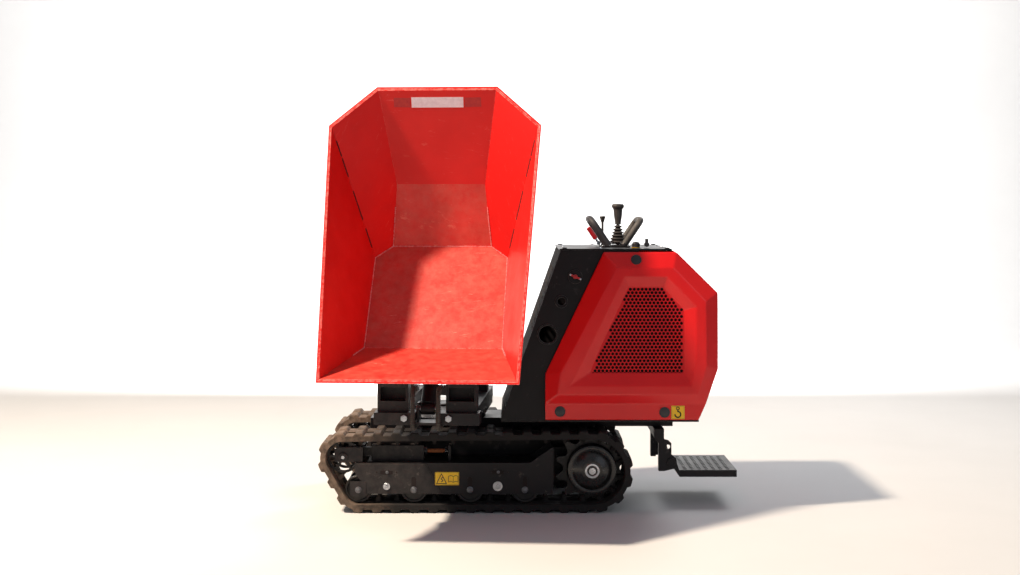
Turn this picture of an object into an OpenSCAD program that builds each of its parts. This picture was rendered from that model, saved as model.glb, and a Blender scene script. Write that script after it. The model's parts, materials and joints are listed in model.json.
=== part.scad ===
// Rubber-tracked power wheelbarrow: a tipping skip on a turntable, an engine pack behind it,
// and a folding step for the operator. Millimetres. X runs from front to back, Y from left
// to right, Z is up, and the origin is on the ground midway between the two tracks.
// The skip is drawn swivelled to the left side and tipped.

/* [Track] */
// Rubber belt width
belt_w = 200; // [160:5:240]
// Overall width across both tracks
track_total_w = 690; // [640:5:760]
// Belt links in one loop
link_count = 37; // [35:1:39]
// Sprocket axle behind the middle of the track
sprocket_x = 450; // [420:5:480]
// Front idler axle ahead of the middle of the track
idler_x = 505; // [480:5:530]

/* [Turntable] */
// Turntable axis ahead of the middle of the track
swivel_x = 115; // [110:5:150]
// Direction the skip faces, turned from straight ahead towards the left side
swivel_rest = 86; // [0:1:90]
// Tip hinge ahead of the turntable axis
hinge_out = 635.5; // [620:1:660]
// Tip hinge above the ground
hinge_z = 560; // [540:5:600]
// Tip angle drawn, 0 is lowered
tip_rest = 52; // [0:1:65]

/* [Skip] */
// Lip ahead of the tip hinge when the skip is lowered
lip_ahead = 164; // [150:2:180]
// Depth from the lip down to the floor
lip_h = 295; // [250:5:310]
// Half width of the floor
floor_half = 258.5; // [210:2:262]
// Length of the flat floor
floor_l = 468; // [400:4:500]
// Skip length at the rim
rim_l = 1147; // [1050:5:1160]
// Sheet thickness
skip_t = 4; // [3:0.5:6]
// Width of the rim flange
rim_w = 8; // [6:1:24]

/* [Engine pack] */
// Height of the console top above the ground
console_top = 1007; // [980:1:1030]
// Half width of the console
console_half = 304; // [290:2:310]
// Bulge of each side cover beyond the console
cover_d = 40; // [30:2:44]
// Rear end of the covers behind the middle of the track
pack_rear = 932; // [900:2:950]

/* [Step] */
// Step length
step_l = 225; // [190:5:240]
// Step width
step_w = 344; // [300:4:344]
// Step height above the ground
step_z = 133; // [125:1:140]

/* [Hidden] */
$fn = 48;
FAR = 3000;
GAP = 0.3;
RUN = 0.05;

// Belt section, measured from the pitch line of the steel cords
pitch_r = 137.5;
belt_out = 7.5;
belt_in = 14;
horn_h = 23;
lug_h = 11.5;
channel_w = 44;
channel_out = 5.2;
horn_w = 18;
roller_r = 53;
track_y = (track_total_w - belt_w) / 2;
ground_run = lug_h + belt_out;
wheel_z = ground_run + pitch_r;
roller_z = ground_run + belt_in + roller_r + GAP;
idler_z = 208.5;
idler_r = 62.7;
front_roller_x = -445;
roller_xs = [-233, -18, 192];

// The loop runs over three rounds: sprocket, idler and front roller, each [x, z, radius]
rounds = [
    [sprocket_x, wheel_z, pitch_r],
    [-idler_x, idler_z, idler_r + GAP + belt_in],
    [front_roller_x, roller_z, roller_r + GAP + belt_in]
];

function heading(a, b) = atan2(b[1] - a[1], b[0] - a[0]);
function span(a, b) = norm([b[0] - a[0], b[1] - a[1]]);
// Direction of the outer normal of the straight run from round a to round b
function run_normal(a, b) = heading(a, b) - acos((a[2] - b[2]) / span(a, b));
function on_round(c, ang, extra) = [c[0] + (c[2] + extra) * cos(ang), c[1] + (c[2] + extra) * sin(ang)];
function wrap(a) = a < 0 ? wrap(a + 360) : (a >= 360 ? wrap(a - 360) : a);

run_angles = [for (i = [0:2]) run_normal(rounds[i], rounds[(i + 1) % 3])];
arc_turns = [for (i = [0:2]) wrap(run_angles[i] - run_angles[(i + 2) % 3])];
arc_lens = [for (i = [0:2]) arc_turns[i] * PI / 180 * rounds[i][2]];
run_lens = [for (i = [0:2]) norm(on_round(rounds[(i + 1) % 3], run_angles[i], 0)
    - on_round(rounds[i], run_angles[i], 0))];
loop_len = arc_lens[0] + run_lens[0] + arc_lens[1] + run_lens[1] + arc_lens[2] + run_lens[2];
link_pitch = loop_len / link_count;

// Place on the loop at distance s from the start of the sprocket arc: [x, z, normal angle]
function on_loop(s, i = 0) =
    s < arc_lens[i]
        ? let (a = run_angles[(i + 2) % 3] + s / rounds[i][2] * 180 / PI)
            [on_round(rounds[i], a, 0)[0], on_round(rounds[i], a, 0)[1], a]
        : s < arc_lens[i] + run_lens[i]
            ? let (p = on_round(rounds[i], run_angles[i], 0), t = s - arc_lens[i], h = run_angles[i] + 90)
                [p[0] + t * cos(h), p[1] + t * sin(h), run_angles[i]]
            : on_loop(s - arc_lens[i] - run_lens[i], (i + 1) % 3);

// Skip planes in the lowered skip's frame, which has the tip hinge at its origin,
// X towards the skip's rear and Z up. Each plane is [point, outward normal].
lip_up = 239;
slope_run = 314;
floor_z = lip_up - lip_h;
floor_x = slope_run - lip_ahead;
floor_rear = floor_x + floor_l;
fold = [floor_rear + 163, floor_z + 186.4];
rim_slope = 0.1817;
rim_rear = [rim_l - lip_ahead, lip_up + rim_l * rim_slope];
wall_lean = 0.2726;
corner_cut = 55;
pan_planes = [
    [[floor_x, 0, floor_z], [0, 0, -1]],
    [[-lip_ahead, 0, lip_up], [-lip_h, 0, -slope_run]],
    [[floor_rear, 0, floor_z], [fold[1] - floor_z, 0, floor_rear - fold[0]]],
    [[fold[0], 0, fold[1]], [rim_rear[1] - fold[1], 0, fold[0] - rim_rear[0]]]
];
function side_plane(s) = [[0, s * floor_half, floor_z], [0, s, -wall_lean]];
function corner_plane(s) = [[floor_rear - corner_cut, s * floor_half, floor_z], [0.6571, s * 0.5553, -0.5109]];
rim_plane = [[-lip_ahead, 0, lip_up], [-rim_slope, 0, 1]];

// Tip ram, with the base pin below the tip hinge and the rod pin under the floor
ram_base = [0, -120];
ram_pin = [280, -100];
ram_eye_gap = 10;
ram_pin_r = 9;
ram_tip = [ram_pin[0] * cos(tip_rest) - ram_pin[1] * sin(tip_rest) - ram_base[0],
    ram_pin[0] * sin(tip_rest) + ram_pin[1] * cos(tip_rest) - ram_base[1]];
ram_len = norm(ram_tip);
ram_angle = atan2(ram_tip[1], ram_tip[0]);

// Engine pack outlines, each a list of [x, z]
tray_z = 341;
console_foot = [95, 338];
console_head = [331, console_top];
step_pivot = [767, 167];
cover_outline = [
    [296, 353], [850, 353], [869, 371], [pack_rear, 547], [pack_rear - 1, 838],
    [772, 995], [494, 995], [270, 528], [268, 394], [275, 366]
];
cover_ridge = [
    [318, 440], [846, 440], [886, 552], [883, 806], [758, 935], [545.5, 935], [322, 530]
];

red = "#d6202a";
black = "#1c1b1d";
rubber = "#2b2624";
steel = "#b9bcc0";
grey = "#4a4a4c";

// ---------- helpers ----------

// Everything beyond a plane, pushed outwards by grow
module beyond(plane, grow = 0) {
    n = plane[1] / norm(plane[1]);
    translate(plane[0] + n * grow)
        rotate([0, acos(n[2]), atan2(n[1], n[0])])
            translate([-FAR, -FAR, 0])
                cube([2 * FAR, 2 * FAR, FAR]);
}

// A flat profile in X and Z, given thickness from y0 to y1
module slab(y0, y1) {
    translate([0, y1, 0])
        rotate([90, 0, 0])
            linear_extrude(y1 - y0)
                children();
}

// A round bar along Y
module bar_y(x, z, y0, y1, r) {
    translate([x, y0, z])
        rotate([-90, 0, 0])
            cylinder(r = r, h = y1 - y0);
}

module box(x0, x1, y0, y1, z0, z1) {
    translate([x0, y0, z0])
        cube([x1 - x0, y1 - y0, z1 - z0]);
}

// The same thing on both sides of the middle plane
module both_sides() {
    children();
    mirror([0, 1, 0]) children();
}

// side is -1 for the left track and 1 for the right one; local y grows towards the outside
module on_track(side) {
    if (side > 0) {
        translate([0, track_y, 0]) children();
    } else {
        mirror([0, 1, 0]) translate([0, track_y, 0]) children();
    }
}

module on_turret() {
    translate([-swivel_x, 0, 0]) rotate([0, 0, swivel_rest]) children();
}

module on_skip() {
    on_turret() translate([-hinge_out, 0, hinge_z]) rotate([0, -tip_rest, 0]) children();
}

module on_ram() {
    on_turret()
        translate([ram_base[0] - hinge_out, 0, hinge_z + ram_base[1]])
            rotate([0, -ram_angle, 0])
                children();
}

// ---------- tracks ----------

module loop_profile(extra) {
    for (c = rounds) translate([c[0], c[1]]) circle(r = c[2] + extra, $fn = 96);
    polygon([for (i = [0:2]) for (c = [i, (i + 1) % 3]) on_round(rounds[c], run_angles[i], extra)]);
}

// One trapezoid per link, standing outwards (up) or inwards (down) from the belt
module link_teeth(base_w, tip_w, from, to) {
    for (i = [0:link_count - 1]) {
        p = on_loop((i + 0.5) * link_pitch);
        translate([p[0], p[1]])
            rotate([0, 0, p[2] - 90])
                polygon([[-base_w / 2, from], [base_w / 2, from], [tip_w / 2, to], [-tip_w / 2, to]]);
    }
}

module tread_profile(inner) {
    difference() {
        loop_profile(belt_out);
        loop_profile(inner);
    }
    link_teeth(44, 26, channel_out + 0.1, belt_out + lug_h);
}

module horn_profile() {
    tread_profile(-belt_in);
    link_teeth(26, 12, -belt_in + 4, -belt_in - horn_h);
}

module belt() {
    color(rubber) {
        slab(-channel_w / 2, channel_w / 2) tread_profile(channel_out);
        both_sides() slab(channel_w / 2, channel_w / 2 + horn_w) horn_profile();
        both_sides() slab(channel_w / 2 + horn_w, belt_w / 2) tread_profile(-belt_in);
    }
}

module sprocket() {
    tooth_count = 12;
    color("#2a2a2c") {
        slab(-14, 14)
            difference() {
                union() {
                    translate([sprocket_x, wheel_z]) circle(r = 112, $fn = 96);
                    for (i = [0:tooth_count - 1])
                        translate([sprocket_x, wheel_z])
                            rotate([0, 0, (i + 0.5) * 360 / tooth_count])
                                polygon([[105, -19], [128, -12], [140.5, -7], [140.5, 7], [128, 12], [105, 19]]);
                }
                translate([sprocket_x, wheel_z]) circle(r = 28);
            }
        difference() {
            bar_y(sprocket_x, wheel_z, 14, 62, 94);
            bar_y(sprocket_x, wheel_z, 13, 54, 86);
        }
        bar_y(sprocket_x, wheel_z, 62, 70, 72);
        bar_y(sprocket_x, wheel_z, 70, 76, 44);
        bar_y(sprocket_x, wheel_z, 76, 84, 22);
    }
}

module idler() {
    spoke_count = 6;
    color("#2a2a2c") {
        both_sides()
            slab(42, 56)
                difference() {
                    translate([-idler_x, idler_z]) circle(r = idler_r, $fn = 96);
                    difference() {
                        translate([-idler_x, idler_z]) circle(r = idler_r - 9, $fn = 96);
                        translate([-idler_x, idler_z]) circle(r = 24);
                        for (i = [0:spoke_count - 1])
                            translate([-idler_x, idler_z])
                                rotate([0, 0, i * 360 / spoke_count])
                                    translate([0, -5])
                                        square([idler_r, 10]);
                    }
                    translate([-idler_x, idler_z]) circle(r = 10 + RUN);
                }
        difference() {
            bar_y(-idler_x, idler_z, -42, 42, 22);
            bar_y(-idler_x, idler_z, -43, 43, 10 + RUN);
        }
    }
}

module idler_yoke() {
    yoke_rear = -430;
    color(black) {
        both_sides()
            slab(62, 70)
                difference() {
                    polygon([[-538, 190], [yoke_rear, 190], [yoke_rear, 246], [-528, 246], [-538, 236]]);
                    translate([-idler_x, idler_z]) circle(r = 10);
                }
        box(yoke_rear - 10, yoke_rear, -62, 62, 200, 244);
        box(yoke_rear, -330, -15, 15, 207, 237);
    }
    color(steel) {
        bar_y(-idler_x, idler_z, -78, 78, 10);
        both_sides() bar_y(-idler_x, idler_z, 70, 78, 16);
    }
}

module roller(x) {
    color("#2a2a2c")
        difference() {
            union() {
                both_sides() bar_y(x, roller_z, 43, 68, roller_r);
                bar_y(x, roller_z, -43, 43, 26);
            }
            bar_y(x, roller_z, -69, 69, 12 + RUN);
            both_sides() bar_y(x, roller_z, 62, 69, 42);
        }
}

module frame_side_profile() {
    difference() {
        polygon([[-460, 188], [295, 188], [295, 69], [-430, 69], [-430, 110], [-460, 152]]);
        for (x = roller_xs) {
            translate([x, roller_z]) circle(r = 12);
            translate([x - 9, roller_z]) square([18, 42]);
            translate([x, roller_z + 42]) circle(r = 9);
        }
        for (x = [-337, 88]) {
            translate([x - 16, 145]) square([32, 16]);
            for (e = [-16, 16]) translate([x + e, 153]) circle(r = 8);
            for (e = [-38, 38]) translate([x + e, 153]) circle(r = 3);
        }
    }
}

module track_frame() {
    color(black) {
        both_sides() slab(74, 80) frame_side_profile();
        box(-415, 295, -74, 74, 182, 188);
        // tensioner tube on the frame's back
        difference() {
            box(-400, -199, -26, 26, 188, 246);
            box(-401, -209, -15.3, 15.3, 206.7, 237.3);
            translate([-204, 0, 222]) rotate([0, 90, 0]) cylinder(r = 8.2, h = 30, center = true);
        }
        // rear end plate and gusset
        box(295, 301, -80, 80, 69, 246);
        both_sides() slab(74, 80) polygon([[211, 188], [295, 188], [295, 246]]);
        // plate that holds the drive motor
        slab(-74, -66)
            difference() {
                polygon([[301, 90], [500, 90], [520, 130], [520, 190], [500, 225], [301, 225]]);
                translate([sprocket_x, wheel_z]) circle(r = 52);
            }
        // blocks for the front roller
        both_sides()
            difference() {
                box(-476, -416, 80, 86, 64, 118);
                bar_y(front_roller_x, roller_z, 79, 87, 12);
            }
    }
}

module tension_screw() {
    color("#8a5a3c") translate([-209, 0, 222]) rotate([0, 90, 0]) cylinder(r = 8, h = 105);
    color(steel) {
        translate([-199, 0, 222]) rotate([0, 90, 0]) cylinder(r = 16, h = 14, $fn = 6);
        translate([-118, 0, 222]) rotate([0, 90, 0]) cylinder(r = 16, h = 14, $fn = 6);
    }
    color(black) box(-104, -94, -26, 26, 188, 246);
}

module track_bolt_set() {
    color(steel) {
        for (x = concat([front_roller_x], roller_xs)) bar_y(x, roller_z, -86, 86, 12);
        for (x = concat([front_roller_x], roller_xs)) both_sides() bar_y(x, roller_z, 86, 94, 10);
        for (x = [-337, 88]) {
            bar_y(x, 99, 80, 84, 19);
            bar_y(x, 99, 84, 92, 12);
            bar_y(x, 153, 70, 82, 7);
        }
    }
}

module drive_motor() {
    color("#3a3a3c") {
        bar_y(sprocket_x, wheel_z, -66, -15, 50);
        bar_y(sprocket_x, wheel_z, -90, -74, 62);
        bar_y(sprocket_x, wheel_z, -92, -90, 48);
        bar_y(sprocket_x, wheel_z, -74, -66, 52);
        bar_y(sprocket_x, wheel_z, -15, 53, 26);
    }
}

// ---------- chassis and turntable ----------

module chassis() {
    color(black) {
        both_sides() box(-420, 470, 90, 110, 100, 320);
        box(-420, -400, -90, 90, 100, 320);
        box(450, 470, -90, 90, 100, 320);
        box(-420, 470, -110, 110, 320, 329.7);
        // cross tubes out to the track frames
        for (x = [-337, 88]) both_sides() box(x - 35, x + 35, 110, track_y - 80, 110, 180);
        // engine beams and tray
        both_sides() box(470, 781, 60, 110, 296, tray_z);
        both_sides() box(120, 700, 105, 150, 329.7, tray_z);
        box(100, 861, -console_half + 6, console_half - 6, tray_z, tray_z + 8);
        box(460, 781, -110, 110, 329.7, tray_z);
    }
}

module slew_ring() {
    color(steel)
        translate([-swivel_x, 0, 329.8])
            difference() {
                cylinder(r = 150, h = 22);
                translate([0, 0, -1]) cylinder(r = 105, h = 24);
            }
}

module swivel_frame() {
    up_x = 30;
    on_turret() {
        color(black) {
            difference() {
                translate([0, 0, 352.2]) cylinder(r = 160, h = 12);
                translate([0, 0, 352]) cylinder(r = 40, h = 13);
            }
            difference() {
                translate([0, 0, 331]) cylinder(r = 105 - RUN, h = 21.2);
                translate([0, 0, 330]) cylinder(r = 40, h = 23);
            }
            box(-200, 100, -170, -60, 364.2, 388);
            box(-200, 100, 60, 170, 364.2, 388);
            both_sides() {
                box(-hinge_out + up_x, 120, 110, 170, 388, 431);
                // hinge uprights
                difference() {
                    box(-hinge_out - up_x, -hinge_out + up_x, 68, 180, 431, hinge_z + 40);
                    bar_y(-hinge_out, hinge_z, 67, 181, 15);
                    box(-hinge_out - up_x - 1, -hinge_out + up_x - 8, 78, 170, 470, hinge_z - 40);
                }
                box(-hinge_out - 54, -hinge_out + up_x, 42, 190, 388, 431);
                // ram base bracket
                difference() {
                    box(-hinge_out - 27, -hinge_out + 27, 30, 38, 396, hinge_z + ram_base[1] + 24);
                    bar_y(-hinge_out, hinge_z + ram_base[1], 29, 39, 10);
                }
                // rest post for the lowered skip
                box(-90, -30, 115, 165, 431, hinge_z + floor_z - skip_t - 16);
            }
            box(-hinge_out - 54, -hinge_out + up_x, -42, 42, 388, 396);
            box(120, 128, -170, 170, 388, 431);
        }
        color(rubber)
            both_sides()
                box(-92, -28, 113, 167, hinge_z + floor_z - skip_t - 16, hinge_z + floor_z - skip_t - 1);
    }
}

module hinge_pins() {
    on_turret()
        color(steel) {
            both_sides() {
                bar_y(-hinge_out, hinge_z, 50, 198, 15);
                bar_y(-hinge_out, hinge_z, 198, 203, 22);
            }
            bar_y(-hinge_out, hinge_z + ram_base[1], -42, 42, 10);
            both_sides() bar_y(-hinge_out, hinge_z + ram_base[1], 38, 42, 15);
            // hexagon heads on the front of the cross member
            for (y = [-80, 80])
                translate([-hinge_out - 62, y, 412])
                    rotate([0, 90, 0])
                        cylinder(r = 13, h = 8, $fn = 6);
        }
}

// ---------- skip ----------

// The skip's inside as a solid: grow_pan pushes the folded sheet's planes outwards,
// grow_walls those of the side and corner walls, and top the rim
module skip_block(grow_pan, grow_walls, top) {
    difference() {
        box(-lip_ahead - 100, rim_l + 100, -600, 600, floor_z - 100, rim_rear[1] + 200);
        for (p = pan_planes) beyond(p, grow_pan);
        for (s = [-1, 1]) {
            beyond(side_plane(s), grow_walls);
            beyond(corner_plane(s), grow_walls);
        }
        beyond(rim_plane, top);
    }
}

module skip_shell() {
    difference() {
        skip_block(skip_t, skip_t, 0);
        skip_block(0, 0, 60);
    }
}

module skip_pan() {
    color(red)
        on_skip()
            difference() {
                skip_block(skip_t, 0, 0);
                skip_block(0, 50, 60);
            }
}

// s is 1 for the skip's own right-hand wall, seen from its rear
module skip_side(s) {
    color(red)
        on_skip()
            difference() {
                intersection() {
                    skip_shell();
                    beyond(side_plane(s));
                }
                beyond(corner_plane(s));
            }
}

module skip_corners() {
    color(red)
        on_skip()
            for (s = [-1, 1])
                intersection() {
                    skip_shell();
                    beyond(corner_plane(s));
                }
}

module skip_rim() {
    rim_h = 22;
    color(red)
        on_skip()
            difference() {
                skip_block(skip_t + rim_w, skip_t + rim_w, 0);
                skip_block(skip_t, skip_t, 60);
                beyond([[-lip_ahead, 0, lip_up - rim_h], [rim_slope, 0, -1]]);
            }
}

function slope_under(x) = lip_up - (x + lip_ahead) * lip_h / slope_run - skip_t * 1.5;

module skip_brackets() {
    on_skip() {
        color(red) {
            for (y = [[54, 64], [184, 194]])
                both_sides()
                    slab(y[0], y[1])
                        difference() {
                            union() {
                                circle(r = 32);
                                polygon([[-40, slope_under(-40)], [110, slope_under(110)],
                                    [110, -46], [20, -32], [-32, -10]]);
                            }
                            circle(r = 15 + RUN);
                        }
            // clevis for the ram's rod
            both_sides()
                slab(30, 38)
                    difference() {
                        union() {
                            translate([ram_pin[0], ram_pin[1]]) circle(r = 22);
                            polygon([[ram_pin[0] - 50, floor_z - skip_t - 0.1], [ram_pin[0] + 50, floor_z - skip_t - 0.1],
                                [ram_pin[0] + 21, ram_pin[1] - 4], [ram_pin[0] - 21, ram_pin[1] - 4]]);
                        }
                        translate([ram_pin[0], ram_pin[1]]) circle(r = ram_pin_r);
                    }
            // stiffeners under the floor
            both_sides()
                box(floor_x + 20, floor_rear - 90, 196, 226, floor_z - skip_t - 26, floor_z - skip_t - 0.1);
        }
        color(steel) bar_y(ram_pin[0], ram_pin[1], -42, 42, ram_pin_r);
    }
}

// ---------- tip ram ----------

module ram_bar(x0, x1, r) {
    translate([x0, 0, 0]) rotate([0, 90, 0]) cylinder(r = r, h = x1 - x0);
}

module tip_barrel() {
    barrel_end = 236;
    color(black)
        on_ram()
            difference() {
                union() {
                    bar_y(0, 0, -25, 25, 22);
                    ram_bar(12, barrel_end, 28);
                }
                bar_y(0, 0, -26, 26, 10 + RUN);
                ram_bar(36, barrel_end - 18, 22);
                ram_bar(barrel_end - 19, barrel_end + 1, 15 + RUN);
            }
}

module tip_rod() {
    eye_r = 28;
    color(steel)
        on_ram()
            difference() {
                union() {
                    ram_bar(128, ram_len - eye_r + 4, 15);
                    ram_bar(128, 146, 22 - RUN);
                    bar_y(ram_len, 0, -24, 24, eye_r);
                }
                bar_y(ram_len, 0, -25, 25, ram_pin_r + ram_eye_gap);
            }
}

module hose_bend(x, z, r, start) {
    translate([x, 0, z])
        rotate([90, 0, 0])
            rotate([0, 0, start])
                rotate_extrude(angle = 90)
                    translate([r, 0])
                        circle(r = 7);
}

module tip_hoses() {
    front = -hinge_out - 76;
    low = 376;
    high = hinge_z - 42;
    on_turret()
        color(black)
            for (y = [-46, 46])
                translate([0, y, 0]) {
                    translate([front + 22, 0, low]) rotate([0, 90, 0]) cylinder(r = 7, h = 110);
                    hose_bend(front + 22, low + 22, 22, 180);
                    translate([front, 0, low + 22]) cylinder(r = 7, h = high - low - 52);
                    hose_bend(front + 30, high - 30, 30, 90);
                    translate([front + 30, 0, high]) rotate([0, 90, 0]) cylinder(r = 7, h = 62);
                    translate([front + 92, 0, high]) rotate([0, 90, 0]) cylinder(r = 7.5, h = 16, $fn = 6);
                }
}

// ---------- console and covers ----------

lean = (console_head[0] - console_foot[0]) / (console_head[1] - console_foot[1]);
function front_x(z) = console_foot[0] + (z - console_foot[1]) * lean;

module console_profile() {
    back = 300;
    polygon([[front_x(tray_z + 8), tray_z + 8], [front_x(tray_z) + back, tray_z + 8],
        [console_head[0] + back, console_top - 6], [front_x(console_top - 6), console_top - 6]]);
}

module console_left() {
    color(black) {
        slab(-console_half, -console_half + 4)
            difference() {
                console_profile();
                translate([332.6, 804]) circle(r = 16);
                translate([279, 678]) circle(r = 34);
                translate([385.4, 899.6]) circle(r = 9 + RUN);
            }
        // rims round the two holes and the isolator's collar
        for (ring = [[332.6, 804, 16, 24.5], [279, 678, 34, 40], [385.4, 899.6, 9 + RUN, 27]])
            slab(-console_half - 5, -console_half)
                translate([ring[0], ring[1]])
                    difference() {
                        circle(r = ring[3]);
                        circle(r = ring[2]);
                    }
    }
}

module console_right() {
    color(black) slab(console_half - 4, console_half) console_profile();
}

module console_grille() {
    hole = 16;
    pitch = 30;
    tilt = atan(lean);
    plate_l = (console_top - 6 - tray_z - 8) / cos(tilt) - 4;
    half = console_half - 4.2;
    color(black)
        translate([front_x(tray_z + 10.6), 0, tray_z + 10.6])
            rotate([0, tilt, 0])
                rotate([0, -90, 0])
                    translate([0, -half, -4])
                        linear_extrude(4)
                            difference() {
                                square([plate_l, 2 * half]);
                                for (i = [0:8])
                                    for (j = [0:17])
                                        translate([plate_l - 330 + i * pitch, half - 263 + j * pitch])
                                            square(hole);
                            }
}

module console_lid() {
    color(black)
        difference() {
            union() {
                box(console_head[0] - 6, 756, -console_half - 4, console_half + 4, console_top - 6, console_top);
                box(500, 612, -120, 120, console_top, console_top + 5);
            }
            translate([571, 0, console_top - 7]) cylinder(r = 30, h = 13);
            translate(stick - [0, 0, gimbal_drop])
                rotate([0, 90, 0])
                    cylinder(r = 3 + RUN, h = 68, center = true);
        }
    color(steel)
        for (x = [345, 740])
            both_sides()
                translate([x, console_half - 20, console_top])
                    cylinder(r = 9, h = 4);
}

// A hollow bulged cover with a set-back grille field, on the console's left face
module side_cover() {
    skin = 3;
    color(red)
        difference() {
            union() {
                slab(0, cover_d - 14) polygon(cover_outline);
                slab(cover_d - 14.01, cover_d) polygon(cover_ridge);
            }
            slab(-1, cover_d - 14 - skin) offset(delta = -skin) polygon(cover_outline);
            slab(cover_d - 18, cover_d - skin) offset(delta = -skin) polygon(cover_ridge);
            // the grille field's thinner sheet, set back
            slab(cover_d - 1.5, cover_d + 1)
                polygon([[443, 530], [800, 530], [797, 776], [716, 860], [589, 860]]);
            for (c = [[326, 387], [725.5, 383], [617, 967]])
                bar_y(c[0], c[1], -1, cover_d + 1, 9);
        }
}

module on_console_side(side) {
    if (side > 0) {
        translate([0, console_half + 5.2, 0]) children();
    } else {
        mirror([0, 1, 0]) translate([0, console_half + 5.2, 0]) children();
    }
}

module plug_set() {
    color("#20262c")
        for (side = [-1, 1])
            on_console_side(side) {
                for (c = [[326, 387], [725.5, 383], [617, 967]]) {
                    bar_y(c[0], c[1], cover_d - 14, cover_d - 8, 20);
                    bar_y(c[0], c[1], cover_d - 24, cover_d - 14, 8.9);
                }
            }
}

// The sheet that closes the pack's top and rear between the side covers
module rear_hood() {
    t = 3;
    outer = [[758, console_top - 6], [774, 993], [pack_rear - 3, 836], [pack_rear - 2, 548], [866, 364]];
    inner = [[866 - t, 365], [pack_rear - 2 - t, 549], [pack_rear - 3 - t, 835], [773, 993 - t], [758, console_top - 9]];
    half = console_half + 4;
    color(red)
        difference() {
            slab(-half, half) polygon(concat(outer, inner));
            for (i = [0:9])
                box(pack_rear - 40, pack_rear + 10, -150, 150, 600 + i * 22, 610 + i * 22);
        }
}

module isolator_key() {
    color(red) {
        bar_y(385.4, 899.6, -console_half - 12, -console_half + 14, 9);
        translate([385.4, -console_half - 13, 899.6])
            rotate([0, 24, 0])
                cube([50, 10, 8], center = true);
    }
}

// ---------- what the pack holds ----------

module engine() {
    color(grey) {
        box(470, 690, -140, 100, 400, 600);
        box(500, 660, -120, 60, 600, 700);
        for (i = [0:7]) box(496, 664, -124, 64, 606 + i * 11, 611 + i * 11);
        bar_y(580, 500, -200, -140, 118);
        bar_y(580, 500, -208, -200, 60);
        for (x = [490, 650]) for (y = [-110, 60]) box(x, x + 30, y, y + 30, tray_z + 8, 400);
    }
    color("#8c8780")
        translate([700, -60, 720])
            rotate([0, 0, 90])
                rotate([0, 90, 0])
                    cylinder(r = 52, h = 130);
    color(black) bar_y(580, 860, -150, 20, 62);
    color(black) box(560, 600, -100, -60, 700, 806);
    color("#8c8780") box(660, 700, -20, 10, 640, 690);
}

module fuel_tank() {
    color("#26282b") {
        box(700, 880, 80, 280, 560, 800);
        translate([790, 180, 800]) cylinder(r = 34, h = 14);
    }
}

module hydraulic_tank() {
    color("#26282b")
        difference() {
            box(330, 440, -40, 270, tray_z + 8.1, 640);
            box(336, 434, -34, 264, tray_z + 14, 634);
        }
    color(steel) translate([385, 200, 640]) cylinder(r = 28, h = 22);
}

module hydraulic_pump() {
    color("#55585c") {
        bar_y(580, 500, 100, 200, 46);
        box(530, 630, 120, 180, 454, 546);
        bar_y(580, 500, 200, 226, 30);
    }
}

module battery() {
    color("#1b1c1e") box(720, 850, -260, -90, tray_z + 8.1, 530);
    color(steel)
        for (y = [-230, -120])
            translate([745, y, 530])
                cylinder(r = 9, h = 14);
}

module control_valve() {
    color("#6a6d70") {
        box(440, 560, 120, 250, 780, 850);
        for (i = [0:3]) translate([458 + i * 28, 185, 850]) cylinder(r = 9, h = 60);
    }
    color(black) box(440, 600, 250, 256, 740, 990);
}

// ---------- controls ----------

stick = [571, 0, console_top + 6];
gimbal_drop = 8;

module joystick() {
    color("#3a3636")
        translate(stick) {
            difference() {
                union() {
                    translate([0, 0, -22]) cylinder(r = 7, h = 130);
                    // pleated boot
                    for (i = [0:5])
                        translate([0, 0, 10 + i * 14])
                            cylinder(r1 = 37 - i * 4, r2 = 31 - i * 4, h = 11);
                    translate([0, 0, 20]) cylinder(r = 13, h = 70);
                    // grip
                    translate([0, 0, 96]) cylinder(r1 = 13, r2 = 19, h = 50);
                    translate([0, 0, 146]) cylinder(r1 = 19, r2 = 25.5, h = 12);
                    translate([0, 0, 158]) cylinder(r1 = 25.5, r2 = 19, h = 10);
                }
                translate([0, 0, -gimbal_drop]) rotate([90, 0, 0]) cylinder(r = 3 + RUN, h = 20, center = true);
            }
        }
}

module joystick_gimbal() {
    color(steel)
        translate(stick - [0, 0, gimbal_drop]) {
            rotate([90, 0, 0]) cylinder(r = 3, h = 36, center = true);
            // ring with a stub shaft each side that turns in the lid
            difference() {
                union() {
                    cube([44, 36, 8], center = true);
                    rotate([0, 90, 0]) cylinder(r = 3, h = 66, center = true);
                }
                cube([34, 26, 9], center = true);
            }
        }
}

// A padded loop: two legs and a cross bar, leaning by tilt from its foot
module hand_loop(foot, tilt, half, length) {
    r = 13.5;
    bend = 34;
    translate([foot, 0, console_top + 5])
        rotate([0, tilt, 0]) {
            both_sides() {
                translate([0, half, 0]) cylinder(r = r, h = length - bend);
                translate([0, half, -1]) cylinder(r = r + 6, h = 6);
                translate([0, half - bend, length - bend])
                    rotate([90, 0, 90])
                        rotate_extrude(angle = 90)
                            translate([bend, 0])
                                circle(r = r);
            }
            bar_y(0, length, -half + bend, half - bend, r);
        }
}

module handle_front() {
    color("#2c2c30")
        difference() {
            hand_loop(528, -34, 100, 128);
            box(300, 800, -200, 200, console_top - 60, console_top + 5);
        }
}

module handle_rear() {
    color("#2c2c30")
        difference() {
            hand_loop(586, 34, 100, 124);
            box(300, 800, -200, 200, console_top - 60, console_top + 5);
        }
}

// A round stalk standing on the lid: stalk radius, height, then a knob on top
module stalk(x, y, tilt, r, h, knob_r, knob_h, z0) {
    translate([x, y, z0])
        rotate([0, tilt, 0]) {
            cylinder(r = r, h = h);
            translate([0, 0, h]) cylinder(r1 = knob_r * 0.6, r2 = knob_r, h = knob_h);
        }
}

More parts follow.
